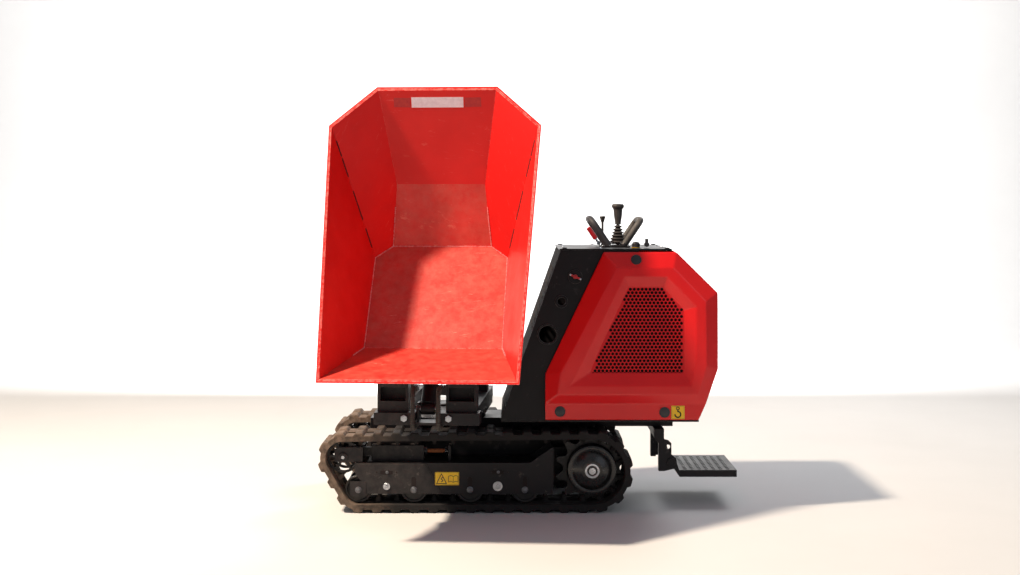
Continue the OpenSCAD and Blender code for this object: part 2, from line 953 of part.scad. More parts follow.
module hold_lever() {
    translate([494, 30, console_top + 14])
        rotate([0, -34, 0]) {
            color(steel) translate([0, 0, 2]) cylinder(r = 5, h = 20);
            color(red) translate([0, 0, 20]) cylinder(r = 10, h = 56);
        }
    color(steel)
        translate([494, 30, console_top + 14])
            rotate([90, 0, 0])
                cylinder(r = 8, h = 16, center = true);
}

module tip_lever() {
    color("#3a3636") {
        stalk(520, 190, 0, 5, 84, 13, 24, console_top + 14);
        translate([520, 190, console_top + 14]) rotate([90, 0, 0]) cylinder(r = 9, h = 18, center = true);
    }
}

module start_knob() {
    color("#26262a")
        translate([627, -200, console_top + GAP]) {
            cylinder(r = 17, h = 8);
            translate([0, 0, 8]) cylinder(r1 = 15, r2 = 12, h = 12);
            translate([0, 0, 20]) cylinder(r1 = 12, r2 = 6, h = 5);
        }
}

module toggle_switch() {
    color("#1a1a1d")
        translate([669, -200, console_top + 14]) {
            rotate([90, 0, 0]) cylinder(r = 10, h = 20, center = true);
            translate([-6, -8, 0]) cube([12, 16, 22]);
        }
}

// ---------- step ----------

module step_bracket() {
    color(black) {
        both_sides() {
            slab(176, 184)
                difference() {
                    polygon([[700, 295.9], [700, 262], [718, 240], [718, 131], [739, 131], [780, 140],
                        [790, 160], [786, 182], [768, 196], [768, 240], [756, 252], [739, 256], [739, 295.9]]);
                    translate([754, 226]) circle(r = 9);
                    translate(step_pivot) circle(r = 8);
                }
            box(718, 739, 150, 176, 131, 262);
        }
        box(700, 739, -176, 176, 262, 295.9);
    }
    color(steel)
        both_sides() {
            bar_y(step_pivot[0], step_pivot[1], 160, 190, 8);
            bar_y(step_pivot[0], step_pivot[1], 184, 192, 16);
        }
}

module folding_step() {
    x0 = 801;
    half = step_w / 2;
    color(black) {
        box(x0, x0 + step_l, -half, half, step_z - 4, step_z);
        both_sides()
            slab(half - 5, half)
                difference() {
                    union() {
                        translate(step_pivot) circle(r = 20);
                        polygon([[750, 156], [772, 148], [x0, step_z - 27], [x0 + step_l, step_z - 27],
                            [x0 + step_l, step_z - 4], [x0, step_z - 4], [785, 176]]);
                    }
                    translate(step_pivot) circle(r = 8 + RUN);
                }
        box(x0 + step_l - 5, x0 + step_l, -half + 5, half - 5, step_z - 27, step_z - 4);
        box(x0, x0 + 5, -half + 5, half - 5, step_z - 27, step_z - 4);
        // raised treads
        for (i = [0:6])
            for (j = [0:9])
                box(x0 + 18 + i * step_l / 8, x0 + 30 + i * step_l / 8,
                    -half + 20 + j * (step_w - 40) / 10, -half + 38 + j * (step_w - 40) / 10,
                    step_z, step_z + 2);
    }
}

// ---------- nodes ----------

on_track(-1) belt();  // track_left
on_track(1) belt();  // track_right
on_track(-1) sprocket();  // sprocket_left
on_track(1) sprocket();  // sprocket_right
on_track(-1) idler();  // idler_left
on_track(1) idler();  // idler_right
on_track(-1) idler_yoke();  // idler_yoke_left
on_track(1) idler_yoke();  // idler_yoke_right
on_track(-1) roller(front_roller_x);  // roller_left_1
on_track(-1) roller(roller_xs[0]);  // roller_left_2
on_track(-1) roller(roller_xs[1]);  // roller_left_3
on_track(-1) roller(roller_xs[2]);  // roller_left_4
on_track(1) roller(front_roller_x);  // roller_right_1
on_track(1) roller(roller_xs[0]);  // roller_right_2
on_track(1) roller(roller_xs[1]);  // roller_right_3
on_track(1) roller(roller_xs[2]);  // roller_right_4
on_track(-1) track_frame();  // track_frame_left
on_track(1) track_frame();  // track_frame_right
for (side = [-1, 1]) on_track(side) tension_screw();  // tension_screws
for (side = [-1, 1]) on_track(side) track_bolt_set();  // track_bolts
for (side = [-1, 1]) on_track(side) drive_motor();  // drive_motors
chassis();
slew_ring();
swivel_frame();
hinge_pins();
skip_pan();
skip_side(1);  // skip_side_left
skip_side(-1);  // skip_side_right
skip_corners();
skip_rim();
skip_brackets();
tip_barrel();
tip_rod();
tip_hoses();
console_left();
console_right();
console_grille();
console_lid();
on_console_side(-1) side_cover();  // cover_left
on_console_side(1) side_cover();  // cover_right
rear_hood();
plug_set();  // cover_plugs
isolator_key();
engine();
fuel_tank();
hydraulic_tank();
hydraulic_pump();
battery();
control_valve();
joystick();
joystick_gimbal();
handle_front();
handle_rear();
hold_lever();
tip_lever();
start_knob();
toggle_switch();
step_bracket();
folding_step();
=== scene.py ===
import json
import math

import bmesh
import bpy
from mathutils import Matrix, Vector


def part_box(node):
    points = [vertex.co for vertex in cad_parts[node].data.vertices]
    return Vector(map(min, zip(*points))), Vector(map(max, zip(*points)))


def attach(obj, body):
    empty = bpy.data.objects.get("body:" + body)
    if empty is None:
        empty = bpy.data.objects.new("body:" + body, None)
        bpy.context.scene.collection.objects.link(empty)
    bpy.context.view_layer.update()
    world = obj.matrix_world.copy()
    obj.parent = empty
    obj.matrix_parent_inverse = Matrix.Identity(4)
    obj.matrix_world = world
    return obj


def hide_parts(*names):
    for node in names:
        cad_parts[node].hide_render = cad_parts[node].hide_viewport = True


bl_info = {
    "name": "Power wheelbarrow",
    "version": (1, 0, 0),
    "blender": (4, 5, 0),
    "location": "3D View > Sidebar > Wheelbarrow",
    "description": "Builds the finished surfaces of a tracked power wheelbarrow round its engineering model",
    "category": "Object",
}

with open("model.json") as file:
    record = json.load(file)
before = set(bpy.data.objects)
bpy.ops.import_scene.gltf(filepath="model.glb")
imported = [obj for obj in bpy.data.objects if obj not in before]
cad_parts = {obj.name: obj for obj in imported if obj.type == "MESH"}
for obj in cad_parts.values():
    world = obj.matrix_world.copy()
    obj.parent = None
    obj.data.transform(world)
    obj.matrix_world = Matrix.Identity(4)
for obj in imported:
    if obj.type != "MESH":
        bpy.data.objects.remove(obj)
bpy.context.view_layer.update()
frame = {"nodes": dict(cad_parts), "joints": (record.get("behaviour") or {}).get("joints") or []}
MM = 0.001
FILLET_ANGLE = math.radians(32)
SHARP_DEGREES = 38

# ---------------------------------------------------------------- frames and paths


def joint(name):
    return next(j for j in frame["joints"] if j["name"] == name)


def turned(origin, *turns):
    """A frame at origin, in metres, turned by (degrees, axis) pairs in order."""
    m = Matrix.Translation(origin)
    for degrees, axis in turns:
        m = m @ Matrix.Rotation(math.radians(degrees), 4, axis)
    return m


TIP = joint("skip_tip")
SWIVEL_DEG = math.degrees(math.atan2(TIP["axis"][0], -TIP["axis"][1]))
TIP_DEG = -TIP["range_deg"][0]
TURRET = turned(joint("skip_swivel")["pos_m"][:2] + [0], (SWIVEL_DEG, "Z"))
# The lowered skip's own frame: hinge at the origin, X towards its rear, Z up
SKIP = turned(TIP["pos_m"], (SWIVEL_DEG, "Z"), (-TIP_DEG, "Y"))
TRACK_Y = {side: joint("sprocket_%s_spin" % side)["pos_m"][1] for side in ("left", "right")}
OUTWARD = {"left": -1, "right": 1}
COVER_FACE = {"left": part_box("cover_left")[1].y, "right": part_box("cover_right")[0].y}

# Skip corners in its own frame, in millimetres
FLOOR_Z, FLOOR_HALF, FLOOR_REAR_HALF = -56, 258.5, 193.4
FLOOR_FRONT, FLOOR_CUT, FLOOR_REAR = 150, 563, 618
CORNER_TOP = (822.5, 387.8, 418.3)
FOLD = (781, 130.4)
RIM_END = (983, 447.4)
SEAM_GAPS = ((0.08, 0.23), (0.30, 0.52), (0.63, 0.77), (0.785, 0.90))
FLOOR_SEAM_GAPS = ((0.02, 0.13), (0.3, 0.47), (0.55, 0.68))

# Undercarriage axles, in millimetres, (x, z)
SPROCKET, IDLER = (450, 156.5), (-505, 208.5)
ROLLER_X, ROLLER_Z = (-445, -233, -18, 192), 86.3
TENSIONER_Z = 222
SLOT_X, SLOT_Z = (-337, 88), 153
FRAME_BOLT_Z = 99
# Outer faces of the doubler plate and of the side plate behind it, out from the track's middle
DOUBLER_FACE, RAIL_FACE = 83.4, 80.0

# Controls on the console, in millimetres: where each one stands or turns
STICK, HOLD_LEVER, TIP_LEVER = (571, 0, 1013), (494, 30, 1021), (520, 190, 1021)
KNOB, TOGGLE = (627, -200, 1007.4), (669, -200, 1021)
ISOLATOR, ISOLATOR_TURN = (385.4, 899.6), math.radians(-24)
LOOP_HALF, LOOP_BEND, LOOP_BASE = 100, 34.0, 1012


def arc(x, z, radius, degrees):
    """Points round (x, z) at the angles given."""
    return [(x + radius * math.cos(math.radians(t)), z + radius * math.sin(math.radians(t))) for t in degrees]


def belt_loop(count=720):
    """Points on the belt's pitch line, as (x, z) in millimetres, from the sprocket over the top."""
    rounds = [(*SPROCKET, 137.5), (*IDLER, 77.0), (ROLLER_X[0], ROLLER_Z, 67.3)]
    normals = []
    for i in range(3):
        a, b = rounds[i], rounds[(i + 1) % 3]
        far = math.hypot(b[0] - a[0], b[1] - a[1])
        normals.append(math.atan2(b[1] - a[1], b[0] - a[0]) - math.acos((a[2] - b[2]) / far))
    corners = []
    for i, (x, z, r) in enumerate(rounds):
        start = normals[i - 1]
        turn = (normals[i] - start) % (2 * math.pi)
        steps = max(8, int(turn * r / 4))
        for k in range(steps + 1):
            t = start + turn * k / steps
            corners.append((x + r * math.cos(t), z + r * math.sin(t)))
    # even spacing, so that the links keep their pitch
    points = [Vector(c) for c in corners] + [Vector(corners[0])]
    lengths = [0.0]
    for p, q in zip(points, points[1:]):
        lengths.append(lengths[-1] + (q - p).length)
    total, out, k = lengths[-1], [], 0
    for n in range(count):
        s = total * n / count
        while lengths[k + 1] < s:
            k += 1
        f = (s - lengths[k]) / max(1e-9, lengths[k + 1] - lengths[k])
        out.append(points[k].lerp(points[k + 1], f))
    return out, total


# ---------------------------------------------------------------- materials


def linear(code):
    """sRGB hex to the linear colour that shaders take."""
    parts = [int(code[i : i + 2], 16) / 255 for i in (1, 3, 5)]
    return [c / 12.92 if c <= 0.04045 else ((c + 0.055) / 1.055) ** 2.4 for c in parts] + [1.0]


def add(tree, kind, inputs=None, **settings):
    """Adds a node with its settings, and sets or links its inputs."""
    n = tree.nodes.new(kind)
    for key, value in settings.items():
        setattr(n, key, value)
    for key, value in (inputs or {}).items():
        if isinstance(value, bpy.types.NodeSocket):
            tree.links.new(value, n.inputs[key])
        else:
            n.inputs[key].default_value = value
    return n


def stops(n, *pairs):
    """Sets a colour ramp's stops, each (position, grey value)."""
    e = n.color_ramp.elements
    while len(e) < len(pairs):
        e.new(0.5)
    for item, (at, value) in zip(e, pairs):
        item.position = at
        item.color = (value, value, value, 1)
    return n.outputs["Color"]


def noise(t, at, scale, detail, roughness=0.5):
    values = {"Vector": at, "Scale": scale, "Detail": detail, "Roughness": roughness}
    return add(t, "ShaderNodeTexNoise", values).outputs["Fac"]


def ramp(t, value, *pairs):
    return stops(add(t, "ShaderNodeValToRGB", {"Fac": value}), *pairs)


def laid_over(t, colour, tone, *masks):
    """Lays a tone over a colour by the product of the masks, and gives the new colour and that product."""
    mask = masks[0]
    for other in masks[1:]:
        mask = add(t, "ShaderNodeMath", {0: mask, 1: other}, operation="MULTIPLY").outputs[0]
    mixed = add(t, "ShaderNodeMix", {"Factor": mask, 6: colour, 7: linear(tone)}, data_type="RGBA")
    return mixed.outputs[2], mask


def finish(name, base, second, patch_mm=120, rough=0.4, rough_swing=0.12, grain_mm=1.2, grain=0.08,
           metallic=0.0, coat=0.0, gloss=0.5, scratch=None, dust_and_painted_light=None, edge=None):
    """A painted, moulded or metal surface in Object coordinates.

    base and second are two shades that drift over patches patch_mm across; grain is the bump of
    the surface texture, grain_mm apart. scratch is (colour, amount, spacing in mm); the dust tuple is
    (colour, amount, metres in X where it starts, metres over which it grows, or None for all over), and
    on the skip floor it also lays a painted sheen, on the belts painted sunlight over their front.
    edge is (colour, amount) laid on the faces marked as rounded edges: worn paint, and on the skip
    also a painted highlight along its edges. gloss scales the mirror part of a paint.
    """
    m = bpy.data.materials.new(name)
    m.use_nodes = True
    t = m.node_tree
    t.nodes.clear()
    at = add(t, "ShaderNodeTexCoord").outputs["Object"]
    patches = noise(t, at, 1000 / patch_mm, 4.0, 0.6)
    height = noise(t, at, 1000 / grain_mm, 2.0)
    drift = ramp(t, patches, (0.3, 0), (0.7, 1))
    colour = add(t, "ShaderNodeMix", {"Factor": drift, 6: linear(base), 7: linear(second)},
                 data_type="RGBA").outputs[2]
    rough_out = add(t, "ShaderNodeMapRange", {"Value": patches, "From Min": 0.25, "From Max": 0.75,
                                              "To Min": rough - rough_swing / 2,
                                              "To Max": rough + rough_swing / 2}).outputs["Result"]
    if scratch:
        tone, amount, apart = scratch
        # long thin cells: a noise squeezed one way reads as drag marks, cut by a second noise
        drag = add(t, "ShaderNodeMapping", {"Vector": at, "Rotation": (0.5, 0.9, 0.35), "Scale": (1, 9, 1)})
        marks = ramp(t, noise(t, drag.outputs["Vector"], 1000 / apart, 6.0, 0.75), (0.60, 0), (0.68, 1))
        spread = ramp(t, noise(t, at, 5.0, 3.0), (0.42, 0.15), (0.62, 1))
        colour, mask = laid_over(t, colour, tone, marks, spread, amount)
        rough_out = add(t, "ShaderNodeMath", {0: mask, 1: 0.3, 2: rough_out}, operation="MULTIPLY_ADD").outputs[0]
    # edge tone on the rounded faces: worn paint, and on the skip also a painted highlight along its edges
    if edge:
        tone, amount = edge
        worn = add(t, "ShaderNodeAttribute", attribute_name="wear").outputs["Fac"]
        chips = ramp(t, noise(t, at, 90.0, 4.0), (0.38, 0), (0.62, 1))
        colour, _ = laid_over(t, colour, tone, worn, chips, amount)
    # dust laid in patches; the same layer carries the skip floor's painted sheen and the belts' painted sunlight
    if dust_and_painted_light:
        tone, amount, start, grow = dust_and_painted_light
        masks = [ramp(t, noise(t, at, 28.0, 7.0, 0.7), (0.36, 0.25), (0.62, 1)), amount]
        # fading out along X: on the belts this keeps the painted sunlight to their front
        if start is not None:
            place = add(t, "ShaderNodeSeparateXYZ", {"Vector": at}).outputs["X"]
            masks.append(add(t, "ShaderNodeMapRange", {"Value": place, "From Min": start, "From Max": start + grow,
                                                       "To Min": 1.0, "To Max": 0.0}).outputs["Result"])
        colour, mask = laid_over(t, colour, tone, *masks)
        rough_out = add(t, "ShaderNodeMath", {0: mask, 1: 0.35, 2: rough_out}, operation="MULTIPLY_ADD").outputs[0]
    bump = add(t, "ShaderNodeBump", {"Height": height, "Strength": grain, "Distance": grain_mm * MM})
    shader = add(t, "ShaderNodeBsdfPrincipled", {"Base Color": colour, "Roughness": rough_out,
                                                "Normal": bump.outputs["Normal"]})
    shader.inputs["Metallic"].default_value = metallic
    if not metallic:
        shader.inputs["Specular IOR Level"].default_value = gloss
    shader.inputs["Coat Weight"].default_value = coat
    shader.inputs["Coat Roughness"].default_value = 0.12
    add(t, "ShaderNodeOutputMaterial", {"Surface": shader.outputs["BSDF"]})
    return m


FINISHES = {}


def make_finishes(s):
    f = FINISHES
    # Enamel sprayed on folded steel: a thin glossy coat that loads of soil have dulled and scored. Its pale edge
    # tone is worn paint and also a painted highlight along the rim and the folds.
    f["skip"] = finish("enamelled_steel_red_scored", s.skip_red, "#C91E1C", 160, 0.36, 0.14, 1.5, 0.05, gloss=0.2,
                       scratch=("#EE8A80", 0.3, 60), edge=("#F2A69E", 0.55))
    # The same enamel where soil slides over it: paler, chalky, with drag marks down to the primer. Its pale salmon
    # patches are dust and also a painted sheen, the sky reflected in the worn floor.
    f["skip_floor"] = finish("enamelled_steel_red_worn", s.skip_red, "#B8231F", 110, 0.34, 0.18, 1.5, 0.07,
                             gloss=0.35, scratch=("#F0A08C", 0.6, 70), dust_and_painted_light=("#D08C74", 0.22, None, 1),
                             edge=("#F0B0A8", 0.6))
    # Weld metal under the enamel, pale pink all over: a painted highlight for the light that the bead crowns catch
    f["weld"] = finish("painted_weld_bead_pale", "#DC6068", "#F2B4B0", 9, 0.4, 0.15, 1.0, 0.1, gloss=0.4)
    # Thermoformed ABS with a painted gloss face: deep red, hardly any grain, soft reflections
    f["cover"] = finish("gloss_abs_red", s.cover_red, "#C8161A", 300, 0.2, 0.06, 2.2, 0.03, gloss=0.25, coat=0.2)
    # Punched sheet in the same paint, duller between the holes
    f["grille"] = finish("punched_sheet_red", s.cover_red, "#C01822", 90, 0.36, 0.1, 1.2, 0.06, gloss=0.2)
    # Powder coat on sheet steel: satin black with a fine orange peel, greyed at the bends
    f["black"] = finish("powder_coat_black", s.frame_black, "#1B1A1D", 140, 0.4, 0.16, 1.4, 0.12, gloss=0.16,
                        scratch=("#5A5554", 0.4, 50), edge=("#6B6764", 0.5))
    # The same coat on the punched front sheet, sanded dull by grit thrown off the skip
    f["matt"] = finish("powder_coat_black_matt", s.frame_black, "#1B1A1D", 140, 0.75, 0.1, 1.4, 0.2, gloss=0.04,
                       edge=("#6B6764", 0.5))
    # The same coat on the undercarriage, hazed by dried soil and stone chips
    f["frame"] = finish("powder_coat_black_dusty", "#161519", "#1F1D20", 90, 0.44, 0.18, 1.4, 0.15, gloss=0.2,
                        scratch=("#6E665F", 0.45, 40), dust_and_painted_light=("#67605B", 0.2, -0.3, 0.3), edge=("#6E6864", 0.45))
    # Vulcanised rubber belt: matt, dark brown-grey, dried pale soil ground into the front half, which also paints
    # the sunlight on the front of the belt
    f["rubber"] = finish("vulcanised_rubber_dusty", s.rubber, "#242122", 60, 0.74, 0.16, 2.5, 0.35,
                         gloss=0.25, dust_and_painted_light=("#8F7C6C", 0.7, -0.5, 0.2))
    # Cast iron under black enamel: slight sand-cast relief, glossy where it is domed
    f["cast"] = finish("cast_iron_black_enamel", "#141416", "#1D1C1D", 60, 0.36, 0.16, 2.5, 0.2, gloss=0.3,
                       dust_and_painted_light=("#5E554C", 0.14, -0.3, 0.3), edge=("#4A4642", 0.35))
    f["hub"] = finish("pressed_steel_black_gloss", "#121214", "#1A1A1C", 90, 0.2, 0.1, 1.5, 0.05, gloss=0.4,
                      coat=0.15, dust_and_painted_light=("#4A453F", 0.2, None, 1))
    # Zinc plate on steel fasteners: cool silver, mottled, slightly dull
    f["zinc"] = finish("zinc_plated_steel", "#B9BCC2", "#9A9DA4", 40, 0.28, 0.14, 0.8, 0.06, metallic=1.0)
    # The same plating after a season: grey, dull, half under dirt
    f["zinc_dull"] = finish("zinc_plated_steel_dull", "#7E8086", "#4E4D4E", 12, 0.5, 0.16, 0.8, 0.12, metallic=0.9)
    # Bare screw thread gone to orange rust, grainy and matt
    f["rust"] = finish("rusted_steel", "#7A4326", "#A8663E", 9, 0.8, 0.2, 1.2, 0.5, metallic=0.2)
    # Hard chrome on the ram rod: mirror with faint axial haze
    f["chrome"] = finish("hard_chrome", "#C9CCD1", "#B4B8BE", 80, 0.1, 0.06, 0.8, 0.02, metallic=1.0)
    # Closed-cell foam sleeve: dark grey skin with a fine open texture
    f["foam"] = finish("nitrile_foam_grip", "#26262B", "#303036", 30, 0.62, 0.12, 1.4, 0.3)
    # The sleeve on the rear loop, which stands in the sun: a lighter grey copy of the same foam, painted sunlight
    f["foam_sunlit"] = finish("nitrile_foam_grip_bleached", "#4B4947", "#3E3C3A", 30, 0.62, 0.12, 1.4, 0.3)
    # Moulded nylon and soft PVC of the lever parts
    f["nylon"] = finish("moulded_nylon_black", "#222226", "#2C2C30", 40, 0.45, 0.12, 1.0, 0.15)
    f["grip"] = finish("moulded_nylon_grey_worn", "#2C2A2B", "#3A3736", 24, 0.5, 0.14, 1.0, 0.2)
    f["boot"] = finish("moulded_neoprene_boot", "#262325", "#322E2D", 30, 0.7, 0.12, 1.2, 0.25)
    f["red_pvc"] = finish("dipped_pvc_red", "#B41822", "#9A1018", 20, 0.35, 0.1, 1.0, 0.1)
    # Hydraulic hose cover, textile-marked rubber under a spiral guard
    f["hose"] = finish("hose_rubber", "#201E1D", "#2B2826", 20, 0.6, 0.14, 1.0, 0.3, dust_and_painted_light=("#544C44", 0.4, None, 1))
    # Sand-cast aluminium of the engine and valves
    f["alloy"] = finish("sand_cast_aluminium", "#8A8B8C", "#75767A", 40, 0.5, 0.2, 1.8, 0.35, metallic=1.0)
    # Blow-moulded polyethylene tanks and the battery case
    f["poly"] = finish("blow_moulded_polyethylene", "#222427", "#2B2D30", 120, 0.5, 0.1, 1.6, 0.12)
    # Blackened muffler skin
    f["heat"] = finish("heat_stained_steel", "#5A524B", "#7A6A5C", 30, 0.5, 0.2, 1.2, 0.2, metallic=0.8)
    # A charcoal, quite matt sheet behind the punched sheet: painted shade, so that the holes read dark like the
    # hollow of the cover behind them
    f["shade_sheet"] = finish("filter_foam_charcoal", "#0E0E10", "#17171A", 10, 0.92, 0.1, 1.8, 0.5, gloss=0.1)
    # Printed vinyl pictograms and a blank paper tag
    f["yellow"] = finish("vinyl_yellow", "#F2C314", "#E0B010", 30, 0.35, 0.1, 0.8, 0.04)
    f["ink"] = finish("vinyl_black_print", "#161616", "#202020", 20, 0.45, 0.1, 0.8, 0.04)
    f["paper"] = finish("paper_tag_white", "#EDE4EA", "#D8CCD4", 14, 0.6, 0.1, 1.0, 0.08)
    f["residue"] = finish("tape_residue_dull_red", "#A01C22", "#B4342E", 10, 0.7, 0.2, 1.2, 0.3)
    f["dark"] = finish("open_seam_shadow", "#120809", "#1A0C0C", 20, 0.9, 0.05, 1.0, 0.05)


# ---------------------------------------------------------------- mesh helpers


def new_object(name, bm, *finishes):
    """A mesh object from bm, in metres, outward faces, with its materials."""
    mesh = bpy.data.meshes.new(name)
    bm.to_mesh(mesh)
    bm.free()
    ob = bpy.data.objects.new(name, mesh)
    bpy.context.scene.collection.objects.link(ob)
    for key in finishes:
        mesh.materials.append(FINISHES[key])
    return ob


def settle(ob, bevel_mm=0.0, segments=2):
    """Rounds the sharp edges, marks the new faces in a face attribute for edge tones, and leaves a plain mesh."""
    mesh = ob.data
    if bevel_mm:
        bm = bmesh.new()
        bm.from_mesh(mesh)
        sharp = [e for e in bm.edges if len(e.link_faces) == 2 and e.calc_face_angle(0) > FILLET_ANGLE]
        wear = bm.faces.layers.float.get("wear") or bm.faces.layers.float.new("wear")
        out = bmesh.ops.bevel(bm, geom=sharp, offset=bevel_mm * MM, offset_type="OFFSET", segments=segments,
                              profile=0.5, affect="EDGES", clamp_overlap=True)
        for f in out["faces"]:
            f[wear] = 1.0
        bm.to_mesh(mesh)
        bm.free()
    smooth(ob, SHARP_DEGREES)
    ob.modifiers.new("normals", "WEIGHTED_NORMAL").keep_sharp = True
    return flatten(ob)


def flatten(ob):
    """Replaces an object's mesh by its evaluated result, with no modifier left."""
    made = bpy.data.meshes.new_from_object(ob.evaluated_get(bpy.context.evaluated_depsgraph_get()))
    if ob.type != "MESH":
        fresh = bpy.data.objects.new(ob.name + "_mesh", made)
        bpy.context.scene.collection.objects.link(fresh)
        name = ob.name
        bpy.data.objects.remove(ob)
        fresh.name = name
        return fresh
    ob.modifiers.clear()
    ob.data = made
    return ob


def place(ob, body, slot, *stands_for):
    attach(ob, body)
    if stands_for:
        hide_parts(*stands_for)
    return ob


def refined(node, key, bevel_mm=1.2, name=None, segments=2):
    """A copy of a CAD node's mesh with its flat faces joined and its sharp edges rounded."""
    bm = bmesh.new()
    bm.from_mesh(frame["nodes"][node].data)
    bmesh.ops.remove_doubles(bm, verts=bm.verts, dist=2e-6)
    bmesh.ops.dissolve_limit(bm, angle_limit=math.radians(0.4), verts=bm.verts, edges=bm.edges)
    for layer in list(bm.loops.layers.uv.values()):
        bm.loops.layers.uv.remove(layer)
    ob = new_object(name or node + "_shape", bm, key)
    for p in ob.data.polygons:
        p.material_index = 0
    return settle(ob, bevel_mm, segments)


def prism(bm, outline, low, high, to_world, slot_index=0):
    """An extruded outline: outline points are (u, v), low and high the third value, all mapped by to_world."""
    rings = [[bm.verts.new(to_world(u, v, w)) for u, v in outline] for w in (low, high)]
    faces = [bm.faces.new(rings[0][::-1]), bm.faces.new(rings[1])]
    n = len(outline)
    faces += [bm.faces.new((rings[0][i], rings[0][(i + 1) % n], rings[1][(i + 1) % n], rings[1][i]))
              for i in range(n)]
    for f in faces:
        f.material_index = slot_index


def lathe(bm, profile, matrix, segments=48):
    """A closed turned shape. profile is (radius, height) in millimetres from pole to pole, about matrix's Z."""
    rings = []
    for r, h in profile:
        if r < 1e-6:
            rings.append([bm.verts.new(matrix @ Vector((0, 0, h * MM)))])
        else:
            rings.append([bm.verts.new(matrix @ Vector((r * MM * math.cos(a), r * MM * math.sin(a), h * MM)))
                          for a in (2 * math.pi * k / segments for k in range(segments))])
    for a, b in zip(rings, rings[1:]):
        for k in range(segments):
            j = (k + 1) % segments
            loop = [a[k % len(a)], a[j % len(a)], b[j % len(b)], b[k % len(b)]]
            loop = [v for i, v in enumerate(loop) if v not in loop[:i]]
            if len(loop) > 2:
                bm.faces.new(loop)


def facing(point_mm, direction):
    """A frame at a point in millimetres whose Z looks along direction."""
    turn = Vector(direction).normalized().to_track_quat("Z", "Y")
    return Matrix.Translation(Vector(point_mm) * MM) @ turn.to_matrix().to_4x4()


def outward(bm):
    bmesh.ops.remove_doubles(bm, verts=bm.verts, dist=1e-6)
    bmesh.ops.recalc_face_normals(bm, faces=bm.faces)
    return bm


def local(m):
    """Maps (u, v, w) in millimetres by the frame m."""
    return lambda u, v, w: m @ Vector((u * MM, v * MM, w * MM))


def finished(name, bm, keys, *where, bevel=0.0, segments=2):
    """A piece made from bm in one finish or a tuple of them; where is its body, a slot name that is not used, and
    CAD nodes.
    """
    keys = keys if isinstance(keys, tuple) else (keys,)
    return place(settle(new_object(name, outward(bm), *keys), bevel, segments), *where)


def smooth(ob, degrees=None):
    """Smooth faces, with edges sharper than the angle kept."""
    for p in ob.data.polygons:
        p.use_smooth = True
    if degrees:
        ob.data.set_sharp_from_angle(angle=math.radians(degrees))
    return ob


def xz(side, offset=0.0):
    """Maps (x, z, depth) in millimetres to the machine, depth growing outwards from a plane at offset."""
    sign = OUTWARD[side]
    return lambda x, z, d: Vector((x * MM, offset + sign * d * MM, z * MM))


# ---------------------------------------------------------------- node trees for repeats


def new_tree(name, *inputs):
    """A geometry node tree with a Geometry socket each way and the named inputs, each (name, type, default)."""
    t = bpy.data.node_groups.new(name, "GeometryNodeTree")
    t.interface.new_socket("Geometry", in_out="INPUT", socket_type="NodeSocketGeometry")
    for label, kind, default in inputs:
        s = t.interface.new_socket(label, in_out="INPUT", socket_type="NodeSocket" + kind)
        if default is not None:
            s.default_value = default
    t.interface.new_socket("Geometry", in_out="OUTPUT", socket_type="NodeSocketGeometry")
    return t, t.nodes.new("NodeGroupInput").outputs


def end_tree(t, geometry, material):
    solid = add(t, "GeometryNodeRealizeInstances", {"Geometry": geometry}).outputs["Geometry"]
    painted = add(t, "GeometryNodeSetMaterial", {"Geometry": solid, "Material": material}).outputs["Geometry"]
    add(t, "NodeGroupOutput", {"Geometry": painted})
    return t


def run_tree(ob, tree, **values):
    """Runs a tree on ob with its inputs set by name, and leaves the result as a plain mesh."""
    mod = ob.modifiers.new(tree.name, "NODES")
    mod.node_group = tree
    for item in tree.interface.items_tree:
        if item.item_type == "SOCKET" and item.in_out == "INPUT" and item.name in values:
            mod[item.identifier] = values[item.name]
    return flatten(ob)


def tree_belt():
    """Links laid end to end along a closed path, each bent to it."""
    t, g = new_tree("belt_links", ("Link", "Object", None), ("Count", "Int", 37), ("Pitch", "Float", 0.072),
                    ("Offset", "Float", 0.0), ("Material", "Material", None))
    step = add(t, "ShaderNodeCombineXYZ", {"X": g["Pitch"]}).outputs["Vector"]
    row = add(t, "GeometryNodeMeshLine", {"Count": g["Count"], "Offset": step}).outputs["Mesh"]
    link = add(t, "GeometryNodeObjectInfo", {"Object": g["Link"]}).outputs["Geometry"]
    placed = add(t, "GeometryNodeInstanceOnPoints", {"Points": row, "Instance": link}).outputs["Instances"]
    flat = add(t, "GeometryNodeRealizeInstances", {"Geometry": placed}).outputs["Geometry"]
    at = add(t, "ShaderNodeSeparateXYZ", {"Vector": add(t, "GeometryNodeInputPosition").outputs["Position"]})
    path = add(t, "GeometryNodeSampleCurve", {"Curves": g["Geometry"], "Length": at.outputs["X"]}, mode="LENGTH",
               use_all_curves=True)
    out = add(t, "ShaderNodeVectorMath", {0: (0, 1, 0), 1: path.outputs["Tangent"]}, operation="CROSS_PRODUCT")
    out = add(t, "ShaderNodeVectorMath", {0: out.outputs["Vector"]}, operation="NORMALIZE")
    lift = add(t, "ShaderNodeVectorMath", {0: out.outputs["Vector"], "Scale": at.outputs["Z"]}, operation="SCALE")
    across = add(t, "ShaderNodeMath", {0: g["Offset"], 1: at.outputs["Y"]}, operation="SUBTRACT").outputs[0]
    side = add(t, "ShaderNodeCombineXYZ", {"Y": across}).outputs["Vector"]
    here = add(t, "ShaderNodeVectorMath", {0: path.outputs["Position"], 1: lift.outputs["Vector"]}, operation="ADD")
    here = add(t, "ShaderNodeVectorMath", {0: here.outputs["Vector"], 1: side}, operation="ADD")
    bent = add(t, "GeometryNodeSetPosition",
               {"Geometry": flat, "Position": here.outputs["Vector"]}).outputs["Geometry"]
    joined = add(t, "GeometryNodeMergeByDistance", {"Geometry": bent, "Distance": 0.0002}).outputs["Geometry"]
    return end_tree(t, joined, g["Material"])


